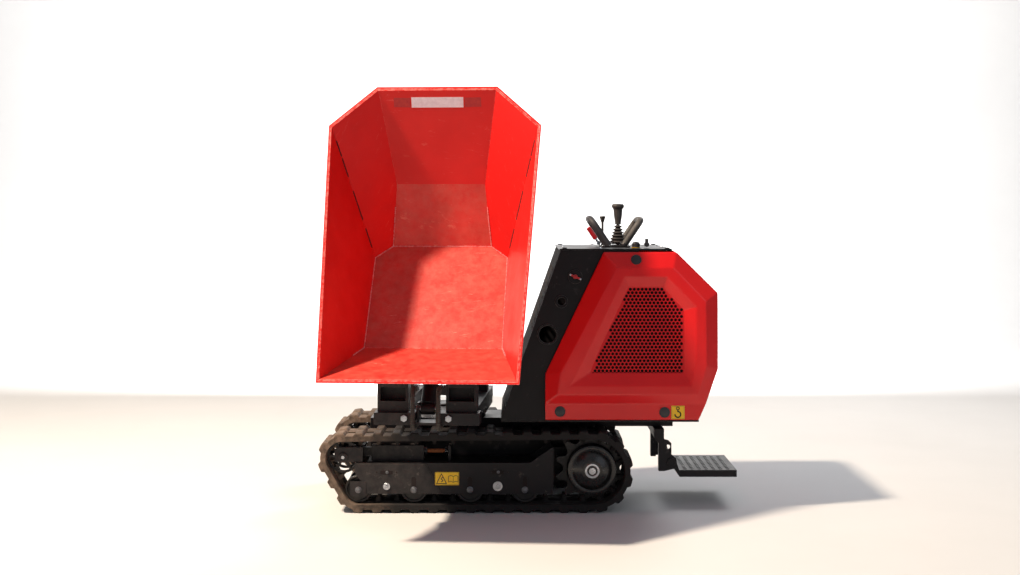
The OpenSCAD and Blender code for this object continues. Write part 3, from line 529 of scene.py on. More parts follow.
def tree_stamps():
    """A shape stamped on every point, its Z along the point's axis attribute, sized by its size attribute."""
    t, g = new_tree("stamped_parts", ("Shape", "Object", None), ("Seed", "Int", 7), ("Spin", "Float", 1.0),
                    ("Material", "Material", None))
    shape = add(t, "GeometryNodeObjectInfo", {"Object": g["Shape"]}).outputs["Geometry"]
    axis = add(t, "GeometryNodeInputNamedAttribute", {"Name": "axis"},
               data_type="FLOAT_VECTOR").outputs["Attribute"]
    size = add(t, "GeometryNodeInputNamedAttribute", {"Name": "size"}, data_type="FLOAT").outputs["Attribute"]
    turn = add(t, "FunctionNodeAlignRotationToVector", {"Vector": axis}, axis="Z").outputs["Rotation"]
    roll = add(t, "FunctionNodeRandomValue", {"Seed": g["Seed"]}, data_type="FLOAT")
    # the float sockets of Random Value are its third and fourth inputs
    roll.inputs[2].default_value, roll.inputs[3].default_value = 0.0, 1.05
    angle = add(t, "ShaderNodeMath", {0: roll.outputs[1], 1: g["Spin"]}, operation="MULTIPLY").outputs[0]
    spin = add(t, "FunctionNodeAxisAngleToRotation", {"Axis": (0, 0, 1), "Angle": angle}).outputs["Rotation"]
    both = add(t, "FunctionNodeRotateRotation", {"Rotation": turn, "Rotate By": spin}, rotation_space="LOCAL")
    points = add(t, "GeometryNodeInstanceOnPoints", {"Points": g["Geometry"], "Instance": shape,
                                                     "Rotation": both.outputs["Rotation"], "Scale": size})
    return end_tree(t, points.outputs["Instances"], g["Material"])


def tree_along():
    """A shape repeated along a path at an even spacing, its Z along the path."""
    t, g = new_tree("repeats_along_path", ("Shape", "Object", None), ("Spacing", "Float", 0.004),
                    ("Seed", "Int", 3), ("Uneven", "Float", 0.0), ("Material", "Material", None))
    even = add(t, "GeometryNodeResampleCurve", {"Curve": g["Geometry"], "Length": g["Spacing"]}, mode="LENGTH")
    points = add(t, "GeometryNodeCurveToPoints", {"Curve": even.outputs["Curve"]}, mode="EVALUATED")
    shape = add(t, "GeometryNodeObjectInfo", {"Object": g["Shape"]}).outputs["Geometry"]
    turn = add(t, "FunctionNodeAlignRotationToVector", {"Vector": points.outputs["Tangent"]}, axis="Z")
    vary = add(t, "FunctionNodeRandomValue", {"Seed": g["Seed"]}, data_type="FLOAT")
    vary.inputs[2].default_value, vary.inputs[3].default_value = -1.0, 1.0
    size = add(t, "ShaderNodeMath", {0: vary.outputs[1], 1: g["Uneven"], 2: 1.0},
               operation="MULTIPLY_ADD").outputs[0]
    placed = add(t, "GeometryNodeInstanceOnPoints", {"Points": points.outputs["Points"], "Instance": shape,
                                                     "Rotation": turn.outputs["Rotation"], "Scale": size})
    return end_tree(t, placed.outputs["Instances"], g["Material"])


def tree_perforated():
    """A punched sheet of six-sided cells: cells whose point has holed set get a round hole, the rest are plain."""
    t, g = new_tree("punched_sheet", ("Pitch", "Float", 0.015), ("Hole radius", "Float", 0.005),
                    ("Thickness", "Float", 0.0015), ("Material", "Material", None))
    rim = add(t, "ShaderNodeMath", {0: g["Pitch"], 1: 0.57735}, operation="MULTIPLY").outputs[0]
    hexagon = add(t, "GeometryNodeCurvePrimitiveCircle", {"Resolution": 6, "Radius": rim}, mode="RADIUS")
    turned_hex = add(t, "GeometryNodeTransform",
                     {"Geometry": hexagon.outputs["Curve"], "Rotation": (0, 0, math.pi / 6)})
    hole = add(t, "GeometryNodeCurvePrimitiveCircle", {"Resolution": 12, "Radius": g["Hole radius"]}, mode="RADIUS")
    ring = add(t, "GeometryNodeJoinGeometry")
    t.links.new(turned_hex.outputs["Geometry"], ring.inputs[0])
    t.links.new(hole.outputs["Curve"], ring.inputs[0])
    cells = []
    for outline in (ring.outputs["Geometry"], turned_hex.outputs["Geometry"]):
        sheet = add(t, "GeometryNodeFillCurve", {"Curve": outline}, mode="TRIANGLES").outputs["Mesh"]
        cells.append(sheet)
    depth = add(t, "ShaderNodeCombineXYZ", {"Z": add(t, "ShaderNodeMath", {0: g["Thickness"], 1: -1.0},
                                                    operation="MULTIPLY").outputs[0]}).outputs["Vector"]
    back = add(t, "GeometryNodeTransform", {"Geometry": cells[0], "Translation": depth}).outputs["Geometry"]
    back = add(t, "GeometryNodeFlipFaces", {"Mesh": back}).outputs["Mesh"]
    stands = []
    holed = add(t, "GeometryNodeInputNamedAttribute", {"Name": "holed"}, data_type="BOOLEAN").outputs["Attribute"]
    plain = add(t, "FunctionNodeBooleanMath", {0: holed}, operation="NOT").outputs["Boolean"]
    for cell, chosen in ((cells[0], holed), (cells[1], plain), (back, holed)):
        stands.append(add(t, "GeometryNodeInstanceOnPoints", {"Points": g["Geometry"], "Selection": chosen,
                                                              "Instance": cell}).outputs["Instances"])
    join = add(t, "GeometryNodeJoinGeometry")
    for s in stands:
        t.links.new(s, join.inputs[0])
    flat = add(t, "GeometryNodeRealizeInstances", {"Geometry": join.outputs["Geometry"]}).outputs["Geometry"]
    one = add(t, "GeometryNodeMergeByDistance", {"Geometry": flat, "Distance": 0.0001}).outputs["Geometry"]
    return end_tree(t, one, g["Material"])


TREES = {}


def path_object(name, points, cyclic=False):
    """A poly curve through points in metres."""
    curve = bpy.data.curves.new(name, "CURVE")
    curve.dimensions = "3D"
    spline = curve.splines.new("POLY")
    spline.points.add(len(points) - 1)
    for p, q in zip(spline.points, points):
        p.co = (*q, 1)
    spline.use_cyclic_u = cyclic
    ob = bpy.data.objects.new(name, curve)
    bpy.context.scene.collection.objects.link(ob)
    return ob


def stamped(name, shape, points, key, spin=1.0):
    """Stamps shape on points, each (position in mm, direction, size)."""
    mesh = bpy.data.meshes.new(name)
    mesh.from_pydata([Vector(p) * MM for p, _, _ in points], [], [])
    mesh.attributes.new("axis", "FLOAT_VECTOR", "POINT")
    mesh.attributes.new("size", "FLOAT", "POINT")
    # looked up again, because adding the second moves the first in memory
    axis, size = mesh.attributes["axis"], mesh.attributes["size"]
    for i, (_, d, s) in enumerate(points):
        axis.data[i].vector = Vector(d).normalized()
        size.data[i].value = s
    ob = bpy.data.objects.new(name, mesh)
    bpy.context.scene.collection.objects.link(ob)
    return run_tree(ob, TREES["stamps"], Shape=shape, Spin=spin, Material=FINISHES[key])


def pattern_part(name, build):
    """A shape that a tree repeats: made here, used by the trees, removed at the end."""
    bm = bmesh.new()
    build(bm)
    PATTERNS[name] = smooth(new_object(name, outward(bm)), SHARP_DEGREES)


PATTERNS = {}


# ---------------------------------------------------------------- settings


class WheelbarrowSettings(bpy.types.PropertyGroup):
    skip_red: bpy.props.StringProperty(name="Skip red", description="Enamel of the skip, sRGB hex",
                                       default="#D4221F")
    cover_red: bpy.props.StringProperty(name="Cover red", description="Paint of the side covers, sRGB hex",
                                        default="#D41A1C")
    frame_black: bpy.props.StringProperty(name="Frame black", description="Powder coat of the frames, sRGB hex",
                                          default="#151417")
    rubber: bpy.props.StringProperty(name="Rubber", description="Belt rubber, sRGB hex", default="#171513")
    link_count: bpy.props.IntProperty(name="Links", description="Links in one belt", default=37, min=20, max=60)
    edge_round: bpy.props.FloatProperty(name="Edge rounding", description="Radius on bent and cut sheet edges",
                                        default=1.4 * MM, min=0.0, max=4 * MM, unit="LENGTH")
    hole_pitch: bpy.props.FloatProperty(name="Grille pitch", description="Distance between grille holes",
                                        default=15 * MM, min=8 * MM, max=30 * MM, unit="LENGTH")
    hole_radius: bpy.props.FloatProperty(name="Grille hole radius", description="Radius of a grille hole",
                                         default=6.0 * MM, min=2 * MM, max=7 * MM, unit="LENGTH")
    wrap_spacing: bpy.props.FloatProperty(name="Hose guard spacing",
                                          description="Distance between turns of the spiral guard",
                                          default=7 * MM, min=3 * MM, max=20 * MM, unit="LENGTH")


def settings():
    return bpy.context.scene.wheelbarrow


# ---------------------------------------------------------------- stage


class WHEELBARROW_OT_stage(bpy.types.Operator):
    """Adds the camera, lights, floor and finishes"""
    bl_idname = "wheelbarrow.stage"
    bl_label = "Stage and finishes"

    def execute(self, context):
        scene = context.scene
        scene.view_settings.view_transform = "Standard"
        make_finishes(settings())
        cam = bpy.data.cameras.new("camera")
        cam.lens, cam.sensor_width = 50.93, 36.0
        cam.shift_x, cam.shift_y = -0.0049, -0.0809
        cam.clip_end = 100
        eye = bpy.data.objects.new("camera", cam)
        eye.location = (0.154, -5.845, 1.175)
        eye.rotation_euler = (math.radians(90), 0, 0)
        scene.collection.objects.link(eye)
        scene.camera = eye

        bm = bmesh.new()
        # floor that curves up into a backdrop
        rows = [(-14, 0), (6, 0)] + arc(6, 3, 3, range(-80, 1, 10)) + [(9, 12)]
        grid = [[bm.verts.new((x, y, z - 0.0006)) for y, z in rows] for x in (-16, 16)]
        for k in range(len(rows) - 1):
            bm.faces.new((grid[0][k], grid[1][k], grid[1][k + 1], grid[0][k + 1]))
        # Matt painted board, even and pale
        FINISHES["floor"] = finish("studio_floor_pale", "#CDCDCD", "#C9C9C9", 900, 0.85, 0.05, 3.0, 0.02)
        floor = new_object("studio_floor", bm, "floor")
        smooth(floor)

        world = bpy.data.worlds.new("studio")
        world.use_nodes = True
        world.node_tree.nodes["Background"].inputs["Color"].default_value = linear("#EAF0FA")
        world.node_tree.nodes["Background"].inputs["Strength"].default_value = 0.32
        scene.world = world
        for name, place_at, aim, size, watts, tint in (
            ("key", (-3.1, -1.75, 5.4), (0.1, -0.35, 0.75), 0.45, 740, "#FFEBD2"),
            ("fill", (3.5, -5.0, 2.2), (0.2, 0.0, 0.6), 3.5, 18, "#EAF2FF"),
            ("rim", (2.6, 3.2, 3.8), (0.2, 0.0, 0.8), 2.0, 110, "#FFFFFF"),
            ("wash", (0.0, 4.2, 3.6), (0.0, 9.0, 2.0), 7.0, 900, "#FFFFFF"),
        ):
            lamp = bpy.data.lights.new(name, "AREA")
            lamp.shape, lamp.size, lamp.energy = "DISK", size, watts
            lamp.color = linear(tint)[:3]
            ob = bpy.data.objects.new(name, lamp)
            ob.location = place_at
            ob.rotation_euler = (Vector(aim) - Vector(place_at)).to_track_quat("-Z", "Y").to_euler()
            scene.collection.objects.link(ob)
        TREES.update(belt=tree_belt(), stamps=tree_stamps(), along=tree_along(), punched=tree_perforated())
        make_patterns()
        return {"FINISHED"}


def make_patterns():
    """The small shapes that the trees repeat."""
    def hex_bolt(bm):
        # a chamfered hexagon head on a washer, height along Z, for a head 20 mm across
        lathe(bm, [(0, 0), (13, 0), (13, 2), (12.4, 2.4), (0, 2.4)], Matrix(), 28)
        lathe(bm, [(0, 2.4), (9.6, 2.4), (9.6, 8.4), (8.4, 9.4), (0, 9.4)], Matrix(), 6)

    def big_washer(bm):
        lathe(bm, [(0, 0), (19, 0), (19, 2.6), (18.2, 3.4), (0, 3.4)], Matrix(), 40)
        lathe(bm, [(0, 3.4), (11, 3.4), (11, 5.4), (0, 5.4)], Matrix(), 32)
        lathe(bm, [(0, 5.4), (9.0, 5.4), (9.0, 11.0), (8.0, 12.0), (0, 12.0)], Matrix(), 6)

    def dome_screw(bm):
        lathe(bm, [(0, 0), (9, 0), (9, 0.8), (6.5, 1.2), (6.2, 2.2), (4.6, 3.6), (2.2, 4.2), (2.2, 2.6),
                   (0, 2.6)], Matrix(), 24)

    def bead(bm):
        # a flattened ripple of weld metal
        ring = bmesh.ops.create_icosphere(bm, subdivisions=1, radius=2.9 * MM)
        bmesh.ops.scale(bm, verts=ring["verts"], vec=(1, 1, 0.62))

    def coil(bm):
        # one turn of a spiral guard, closed, round a 14 mm hose
        profile = [(7.2, -2.1), (8.9, -1.5), (9.5, 0), (8.9, 1.5), (7.2, 2.1), (6.6, 0)]
        rings = [[bm.verts.new((r * MM * math.cos(a), r * MM * math.sin(a), h * MM)) for r, h in profile]
                 for a in (2 * math.pi * k / 16 for k in range(16))]
        for k in range(16):
            a, b = rings[k], rings[(k + 1) % 16]
            for i in range(6):
                bm.faces.new((a[i], a[(i + 1) % 6], b[(i + 1) % 6], b[i]))

    pattern_part("hex_bolt_pattern", hex_bolt)
    pattern_part("washer_pattern", big_washer)
    pattern_part("dome_pattern", dome_screw)
    pattern_part("bead_pattern", bead)
    pattern_part("coil_pattern", coil)
    pattern_part("link_pattern", belt_link)


def belt_link(bm):
    """One link of the rubber belt: X along the belt, Y across, Z out, in metres."""
    pitch = 72.0
    cols = [0, 8, 15.5, 17.5, 22, 24, 31, 36, 41, 48, 50, 54.5, 56.5, 64, 72]
    rows = [-100, -97, -90, -64, -40, -36, -24, -22, -14, -7, 0, 7, 14, 22, 24, 36, 40, 64, 90, 97, 100]

    def top(s, y):
        a = abs(s - pitch / 2)
        lug = 0.0 if a >= 20.5 else (2.0 + (20.5 - a) / 2 * 1.5 if a > 18.5 else 3.5 + (18.5 - a) / 4.5 * 6.6
                                     if a > 14 else 10.1)
        if a <= 12:
            lug = 11.4
        e = abs(y)
        if e > 97:
            lug *= 0.72
        elif e > 90:
            lug *= 0.93
        if e < 14:
            lug *= 0.55
        return 7.4 + lug - (1.6 if e > 97 else 0.0)

    def bottom(s, y):
        e, a = abs(y), abs(s - pitch / 2)
        if e <= 22:
            return 5.3
        low = -13.9 + (1.6 if e > 97 else 0.0)
        if 24 <= e <= 36 and a <= 12:
            low = -13.9 - (22.9 if a <= 5 else 22.9 * (12 - a) / 7)
        return low

    def open_at(i, j):
        s, y = (cols[i] + cols[i + 1]) / 2, (rows[j] + rows[j + 1]) / 2
        return abs(y) < 14 and (s < 15.5 or s > 56.5)

    nc, nr = len(cols) - 1, len(rows) - 1
    up = [[bm.verts.new((s * MM, y * MM, top(s, y) * MM)) for y in rows] for s in cols]
    down = [[bm.verts.new((s * MM, y * MM, bottom(s, y) * MM)) for y in rows] for s in cols]
    for i in range(nc):
        for j in range(nr):
            if open_at(i, j):
                continue
            bm.faces.new((up[i][j], up[i + 1][j], up[i + 1][j + 1], up[i][j + 1]))
            bm.faces.new((down[i][j], down[i][j + 1], down[i + 1][j + 1], down[i + 1][j]))
            for di, dj, a, b in ((0, -1, (i, j), (i + 1, j)), (0, 1, (i + 1, j + 1), (i, j + 1)),
                                 (-1, 0, (i, j + 1), (i, j)), (1, 0, (i + 1, j), (i + 1, j + 1))):
                ni, nj = i + di, j + dj
                if ni < 0 or ni >= nc:
                    continue
                if nj < 0 or nj >= nr or open_at(ni, nj):
                    bm.faces.new((up[a[0]][a[1]], down[a[0]][a[1]], down[b[0]][b[1]], up[b[0]][b[1]]))


# ---------------------------------------------------------------- undercarriage


class WHEELBARROW_OT_belts(bpy.types.Operator):
    """Adds the two rubber belts, link by link"""
    bl_idname = "wheelbarrow.belts"
    bl_label = "Rubber belts"

    def execute(self, context):
        points, total = belt_loop()
        for side in ("left", "right"):
            path = path_object("belt_" + side, [(p.x * MM, 0, p.y * MM) for p in points], cyclic=True)
            ob = run_tree(path, TREES["belt"], Link=PATTERNS["link_pattern"], Count=settings().link_count,
                          Pitch=total * MM / settings().link_count, Offset=TRACK_Y[side],
                          Material=FINISHES["rubber"])
            place(smooth(ob, 28), "machine", "track_rubber", "track_" + side)
        return {"FINISHED"}


class WHEELBARROW_OT_wheels(bpy.types.Operator):
    """Adds sprockets with domed hub covers, idlers with their yokes, and ground rollers"""
    bl_idname = "wheelbarrow.wheels"
    bl_label = "Wheels"

    def execute(self, context):
        for side in ("left", "right"):
            sign, y = OUTWARD[side], TRACK_Y[side] / MM
            hub = facing((SPROCKET[0], y, SPROCKET[1]), (0, sign, 0))
            bm = bmesh.new()
            # toothed rim: twelve rounded teeth on a disc 28 mm thick
            outline = []
            for i in range(12):
                mid = math.radians(30 * i + 15)
                for r, off in ((110, -13.2), (113, -9.8), (126, -6.0), (136, -4.2), (139.6, -2.4), (139.6, 2.4),
                               (136, 4.2), (126, 6.0), (113, 9.8), (110, 13.2)):
                    a = mid + math.radians(off)
                    outline.append((r * math.cos(a), r * math.sin(a)))
            prism(bm, outline, -14, 14, local(hub))
            # inner drum behind the cover
            lathe(bm, [(0, 14), (97, 14), (97, 20), (93, 24), (93, 54), (0, 54)], hub, 72)
            body = "sprocket_%s_body" % side
            finished("sprocket_%s_rim" % side, bm, "cast", body, "cast_black", "sprocket_" + side, bevel=1.4)
            bm = bmesh.new()
            # pressed hub cover: outer lip, groove, dome, raised centre
            lathe(bm, [(0, 50), (94, 50), (94, 55), (92, 58), (86, 59.5), (80, 59), (76.5, 57.5), (74, 58.5),
                       (70, 62.5), (62, 68), (52, 72.5), (43, 75), (40, 76.6), (37, 76.6), (35.5, 75),
                       (30, 75.6), (0, 75.6)], hub, 96)
            finished("sprocket_%s_cover" % side, bm, "hub", body, "cast_black")
            bm = bmesh.new()
            # machined ring and castellated nut in the middle
            ring = [(19, 74.5), (28.6, 74.5), (28.6, 77.6), (27, 79), (21, 79), (19, 77.6)]
            lathe(bm, ring + [ring[0]], hub, 48)
            lathe(bm, [(0, 77), (14, 77), (14, 81), (12.8, 81.6), (0, 81.6)], hub, 6)
            for k in range(6):
                m = hub @ Matrix.Rotation(math.radians(60 * k + 30), 4, "Z")
                prism(bm, [(7.5, -3.2), (13, -3.2), (13, 3.2), (7.5, 3.2)], 81, 84, local(m))
            lathe(bm, [(0, 81), (4, 81), (4, 83.6), (0, 83.6)], hub, 20)
            finished("sprocket_%s_nut" % side, bm, "zinc", body, "zinc", bevel=0.5)

            idler = refined("idler_" + side, "cast", 1.4, "idler_%s_wheel" % side)
            place(idler, "idler_%s_body" % side, "cast_black", "idler_" + side)
            yoke = refined("idler_yoke_" + side, "frame", 1.4, "idler_%s_yoke" % side)
            place(yoke, "yoke_" + side, "frame_black", "idler_yoke_" + side)
            bolts = [((IDLER[0], y + e * 71, IDLER[1]), (0, e, 0), 7.5 / 9.4) for e in (sign, -sign)]
            caps = stamped("idler_%s_bolts" % side, PATTERNS["hex_bolt_pattern"], bolts, "zinc")
            place(caps, "yoke_" + side, "zinc")
            for i, x in enumerate(ROLLER_X):
                node = "roller_%s_%d" % (side, i + 1)
                bm = bmesh.new()
                axle = facing((x, y, ROLLER_Z), (0, 1, 0))
                half = [(26, 43), (50, 43), (52.6, 45.5), (52.9, 48), (52.9, 63), (52.2, 66), (50, 67.8),
                        (45, 67.8), (42.5, 66), (41, 62.4), (32, 62), (20, 63), (14.5, 63.6), (12.06, 63.6)]
                profile = [(r, -h) for r, h in reversed(half)] + [(26, -20), (25.4, 0), (26, 20)] + half
                lathe(bm, profile + [profile[0]], axle, 56)
                finished(node + "_wheel", bm, "cast", node + "_body", "cast_black", node)
        return {"FINISHED"}


class WHEELBARROW_OT_frames(bpy.types.Operator):
    """Adds the track frames, tensioners, bolts, motors and chassis"""
    bl_idname = "wheelbarrow.frames"
    bl_label = "Track frames and chassis"

    def execute(self, context):
        r = settings().edge_round / MM
        for side in ("left", "right"):
            sign, y = OUTWARD[side], TRACK_Y[side] / MM
            face = xz(side, TRACK_Y[side])
            rail = refined("track_frame_" + side, "frame", r, "track_frame_%s_rail" % side)
            place(rail, "machine", "frame_black", "track_frame_" + side)
            bm = bmesh.new()
            # doubler plate on the front of the side plate, its rear end cut on a slant
            prism(bm, [(-455, 185), (-186, 185), (-150, 118), (-128, 72), (-425, 72), (-425, 108), (-455, 149)],
                  80.2, DOUBLER_FACE, face)
            doubler = new_object("track_frame_%s_doubler" % side, outward(bm), "frame")
            place(settle(doubler, 0.8, 2), "machine", "frame_black")
            # dark plates over the frame's slots and holes: painted shade in the openings
            bm = bmesh.new()
            for x in SLOT_X:
                d = (DOUBLER_FACE if x < 0 else RAIL_FACE) + 0.1
                prism(bm, [(x + 24 * math.copysign(min(1, abs(math.cos(a)) * 1.6), math.cos(a)) * 0.98,
                            152 + 8 * math.sin(a)) for a in (2 * math.pi * k / 28
                                                             for k in range(28))], d, d + 0.5, face)
                for e in (-38, 38):
                    prism(bm, arc(x + e, SLOT_Z, 3, range(0, 360, 36)), d, d + 0.4, face)
            for x in ROLLER_X[1:]:
                d = (DOUBLER_FACE if x < -128 else RAIL_FACE) + 0.1
                prism(bm, [(x - 9, 92), (x + 9, 92), (x + 9, 127)] + arc(x, 127, 9, range(18, 180, 18)) +
                      [(x - 9, 127)], d, d + 0.4, face)
            slots = new_object("track_frame_%s_slots" % side, outward(bm), "dark")
            place(settle(slots, 0), "machine", "frame_black")
            bm = bmesh.new()
            # tensioner: rusty threaded rod with rolled thread, from the tube to the stop plate
            rod = facing((-209, y, TENSIONER_Z), (1, 0, 0))
            thread = [(0, 0)]
            h = 0.0
            while h < 100:
                thread += [(7.4, h), (8.0, h + 1.0), (7.4, h + 2.0)]
                h += 2.5
            lathe(bm, thread + [(0, h)], rod, 20)
            finished("tensioner_%s_thread" % side, bm, "rust", "machine", "rusty_screw")
            bm = bmesh.new()
            for x in (-199, -118):
                m = facing((x, y, TENSIONER_Z), (1, 0, 0))
                lathe(bm, [(0, 0), (14.5, 0), (16, 1.2), (16, 12.8), (14.5, 14), (0, 14)], m, 6)
            finished("tensioner_%s_nuts" % side, bm, "zinc", "machine", "zinc", bevel=0.6)
            bm = bmesh.new()
            prism(bm, [(-104, 188.5), (-94, 188.5), (-94, 243), (-97, 246), (-101, 246), (-104, 243)], -26, 26,
                  face)
            finished("tensioner_%s_stop" % side, bm, "frame", "machine", "frame_black", bevel=0.8)
            shafts = bmesh.new()
            for x in ROLLER_X:
                axle = facing((x, y, ROLLER_Z), (0, 1, 0))
                lathe(shafts, [(0, -85.5), (11.9, -85.5), (11.9, 85.5), (0, 85.5)], axle, 28)
            finished("roller_axles_" + side, shafts, "cast", "machine", "zinc", bevel=0.6, segments=1)
            bolts = [((x, y + e * 84.4, ROLLER_Z), (0, e, 0), 0.98) for x in ROLLER_X for e in (-1, 1)]
            bolts += [((x + 2, y + sign * (83.2 if x < 0 else RAIL_FACE), SLOT_Z), (0, sign, 0), 0.5)
                      for x in SLOT_X]
            place(stamped("roller_bolts_" + side, PATTERNS["hex_bolt_pattern"], bolts, "zinc_dull"), "machine",
                  "zinc")
            big = [((x, y + sign * face_y, FRAME_BOLT_Z), (0, sign, 0), size)
                   for x, face_y, size in zip(SLOT_X, (DOUBLER_FACE, RAIL_FACE), (0.72, 0.98))]
            place(stamped("frame_bolts_" + side, PATTERNS["washer_pattern"], big, "zinc"), "machine", "zinc")
        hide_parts("tension_screws")
        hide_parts("track_bolts")
        for node, key, slot, edge in (("chassis", "black", "frame_black", r),
                                      ("drive_motors", "cast", "cast_black", 1.5),
                                      ("slew_ring", "zinc", "zinc", 1.5)):
            place(refined(node, key, edge, node + "_body"), "machine", slot, node)
        return {"FINISHED"}


class WHEELBARROW_OT_turntable(bpy.types.Operator):
    """Adds the swivel frame with the hinge, the tip ram and its hoses"""
    bl_idname = "wheelbarrow.turntable"
    bl_label = "Turntable and tip ram"

    def execute(self, context):
        r = settings().edge_round / MM
        place(refined("swivel_frame", "frame", r, "swivel_frame_body"), "turret", "frame_black", "swivel_frame")
        place(refined("hinge_pins", "zinc", 1.2, "hinge_pin_set"), "turret", "zinc", "hinge_pins")
        place(refined("tip_barrel", "black", 1.6, "tip_ram_barrel", 3), "ram_barrel", "frame_black", "tip_barrel")
        place(refined("tip_rod", "chrome", 1.0, "tip_ram_rod"), "ram_rod", "rod_chrome", "tip_rod")
        # hoses: straight out of the frame, up in front of it, and back to the ram, with a spiral guard
        front, low, high = -711.5, 376.0, 518.0
        for k, y in enumerate((-46, 46)):
            route = [(front + 132, low), (front + 60, low), (front + 22, low)]
            route += arc(front + 22, low + 22, 22, range(255, 179, -15))
            route += [(front, low + 22 + (high - low - 52) * i / 5) for i in range(1, 6)]
            route += arc(front + 30, high - 30, 30, range(165, 89, -15))
            route += [(front + 92, high)]
            line = [TURRET @ Vector((x * MM, y * MM, z * MM)) for x, z in route]
            core = path_object("hose_core_%d" % k, line)
            core.data.bevel_depth = 7 * MM
            core.data.bevel_resolution = 5
            core.data.use_fill_caps = True
            core.data.materials.append(FINISHES["hose"])
            tube = smooth(flatten(core))
            guard = run_tree(path_object("hose_guard_%d" % k, line[1:-1]), TREES["along"],
                             Shape=PATTERNS["coil_pattern"], Spacing=settings().wrap_spacing,
                             Material=FINISHES["hose"])
            guard.name = "hose_guard_%d" % k
            place(guard, "turret", "hose_rubber")
            place(tube, "turret", "hose_rubber")
            bm = bmesh.new()
            end = TURRET @ Matrix.Translation(Vector(((front + 92) * MM, y * MM,
                                                      high * MM))) @ Matrix.Rotation(math.pi / 2, 4, "Y")
            lathe(bm, [(0, -8), (7.6, -8), (7.6, 0), (0, 0)], end, 24)
            lathe(bm, [(0, 0), (8.4, 0), (8.9, 1), (8.9, 11), (8.2, 12), (0, 12)], end, 6)
            finished("hose_fitting_%d" % k, bm, "zinc", "turret", "zinc", bevel=0.4, segments=1)
        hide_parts("tip_hoses")
        return {"FINISHED"}


# ---------------------------------------------------------------- skip


def skip_point(x, y, z):
    return SKIP @ Vector((x * MM, y * MM, z * MM))


def rod_between(bm, a, b, width):
    """A square bar of the given width between two points, in metres."""
    d = (b - a).normalized()
    m = d.to_track_quat("Z", "Y").to_matrix()
    w = width * MM / 2
    rings = [[bm.verts.new(p + m @ Vector((u * w, v * w, 0))) for u, v in ((-1, -1), (1, -1), (1, 1), (-1, 1))]
             for p in (a, b)]
    bm.faces.new(rings[0][::-1])
    bm.faces.new(rings[1])
    for i in range(4):
        j = (i + 1) % 4
        bm.faces.new((rings[0][i], rings[0][j], rings[1][j], rings[1][i]))


class WHEELBARROW_OT_skip(bpy.types.Operator):
    """Adds the skip: folded pan, walls, rim, brackets, weld beads, open seams and tag"""
    bl_idname = "wheelbarrow.skip"
    bl_label = "Tipping skip"

    def execute(self, context):
        r = settings().edge_round / MM
        into = SKIP.to_3x3()
        for node in ("skip_pan", "skip_side_left", "skip_side_right", "skip_corners", "skip_rim", "skip_brackets"):
            ob = refined(node, "skip", r if node != "skip_rim" else 2.2, node + "_plate", 3
                         if node == "skip_rim" else 2)
            if node == "skip_pan":
                ob.data.materials.append(FINISHES["skip_floor"])
                # faces that look up take the floor finish, whose pale patches are partly a painted sheen
                up = into @ Vector((0, 0, 1))
                for p in ob.data.polygons:
                    if p.normal.dot(up) > 0.6 and p.area > 0.001:
                        p.material_index = 1
            place(ob, "skip", "skip_red", node)
        beads = []
        for s in (-1, 1):
            front, foot = (FLOOR_FRONT, s * FLOOR_HALF, FLOOR_Z), (FLOOR_CUT, s * FLOOR_HALF, FLOOR_Z)
            rear = (FLOOR_REAR, s * FLOOR_REAR_HALF, FLOOR_Z)
            beads += [[front, foot], [foot, rear], [rear, (720, s * 180.0, 60.6)], [front, (70, s * 279, 19.2)]]
        beads.append([(FLOOR_REAR, -FLOOR_REAR_HALF, FLOOR_Z), (FLOOR_REAR, FLOOR_REAR_HALF, FLOOR_Z)])
        shown = []
        for i, line in enumerate(beads):
            path = path_object("weld_%d" % i, [skip_point(x, y * 0.9975, z + 1.0) for x, y, z in line])
            shown.append(run_tree(path, TREES["along"], Shape=PATTERNS["bead_pattern"], Spacing=0.0034, Uneven=0.28,
                                  Seed=11 + i, Material=FINISHES["weld"]))
        weld = join("skip_welds", shown)
        place(weld, "skip", "skip_red")
        # open stretches of the stitched seams between side walls and corner panels
        bm = bmesh.new()
        for s in (-1, 1):
            front, foot = (Vector((x, s * FLOOR_HALF, FLOOR_Z)) for x in (FLOOR_FRONT, FLOOR_CUT))
            top = Vector((CORNER_TOP[0], s * CORNER_TOP[1], CORNER_TOP[2]))
            seams = [(foot, top, SEAM_GAPS, 4.2)] + ([(front, foot, FLOOR_SEAM_GAPS, 3.4)] if s < 0 else [])
            for a, b, gaps, width in seams:
                for low, high in gaps:
                    rod_between(bm, skip_point(*a.lerp(b, low)), skip_point(*a.lerp(b, high)), width)
        finished("skip_open_seams", bm, "dark", "skip", "skip_red")
        # blank paper tag on the rear wall, between the ends of an older strip of tape
        down = Vector((FOLD[0] - RIM_END[0], 0, FOLD[1] - RIM_END[1])).normalized()
        up = Vector((-down.z, 0, down.x))
        up = up if up.x < 0 else -up
        base = Vector((RIM_END[0], 0, RIM_END[1]))

        def on_wall(u, v, w):
            p = base + down * v + up * w
            return skip_point(p.x, u, p.z)

        bm = bmesh.new()
        prism(bm, [(-99, 28), (99, 28), (99, 68), (-99, 68)], 0.2, 0.7, on_wall)
        finished("skip_blank_tag", bm, "paper", "skip", "skip_red")
        bm = bmesh.new()
        for s in (-1, 1):
            prism(bm, [(s * 104, 30), (s * 166, 29), (s * 167, 66), (s * 104, 67)], 0.1, 0.35, on_wall)
        finished("skip_tape_residue", bm, "residue", "skip", "skip_red")
        return {"FINISHED"}


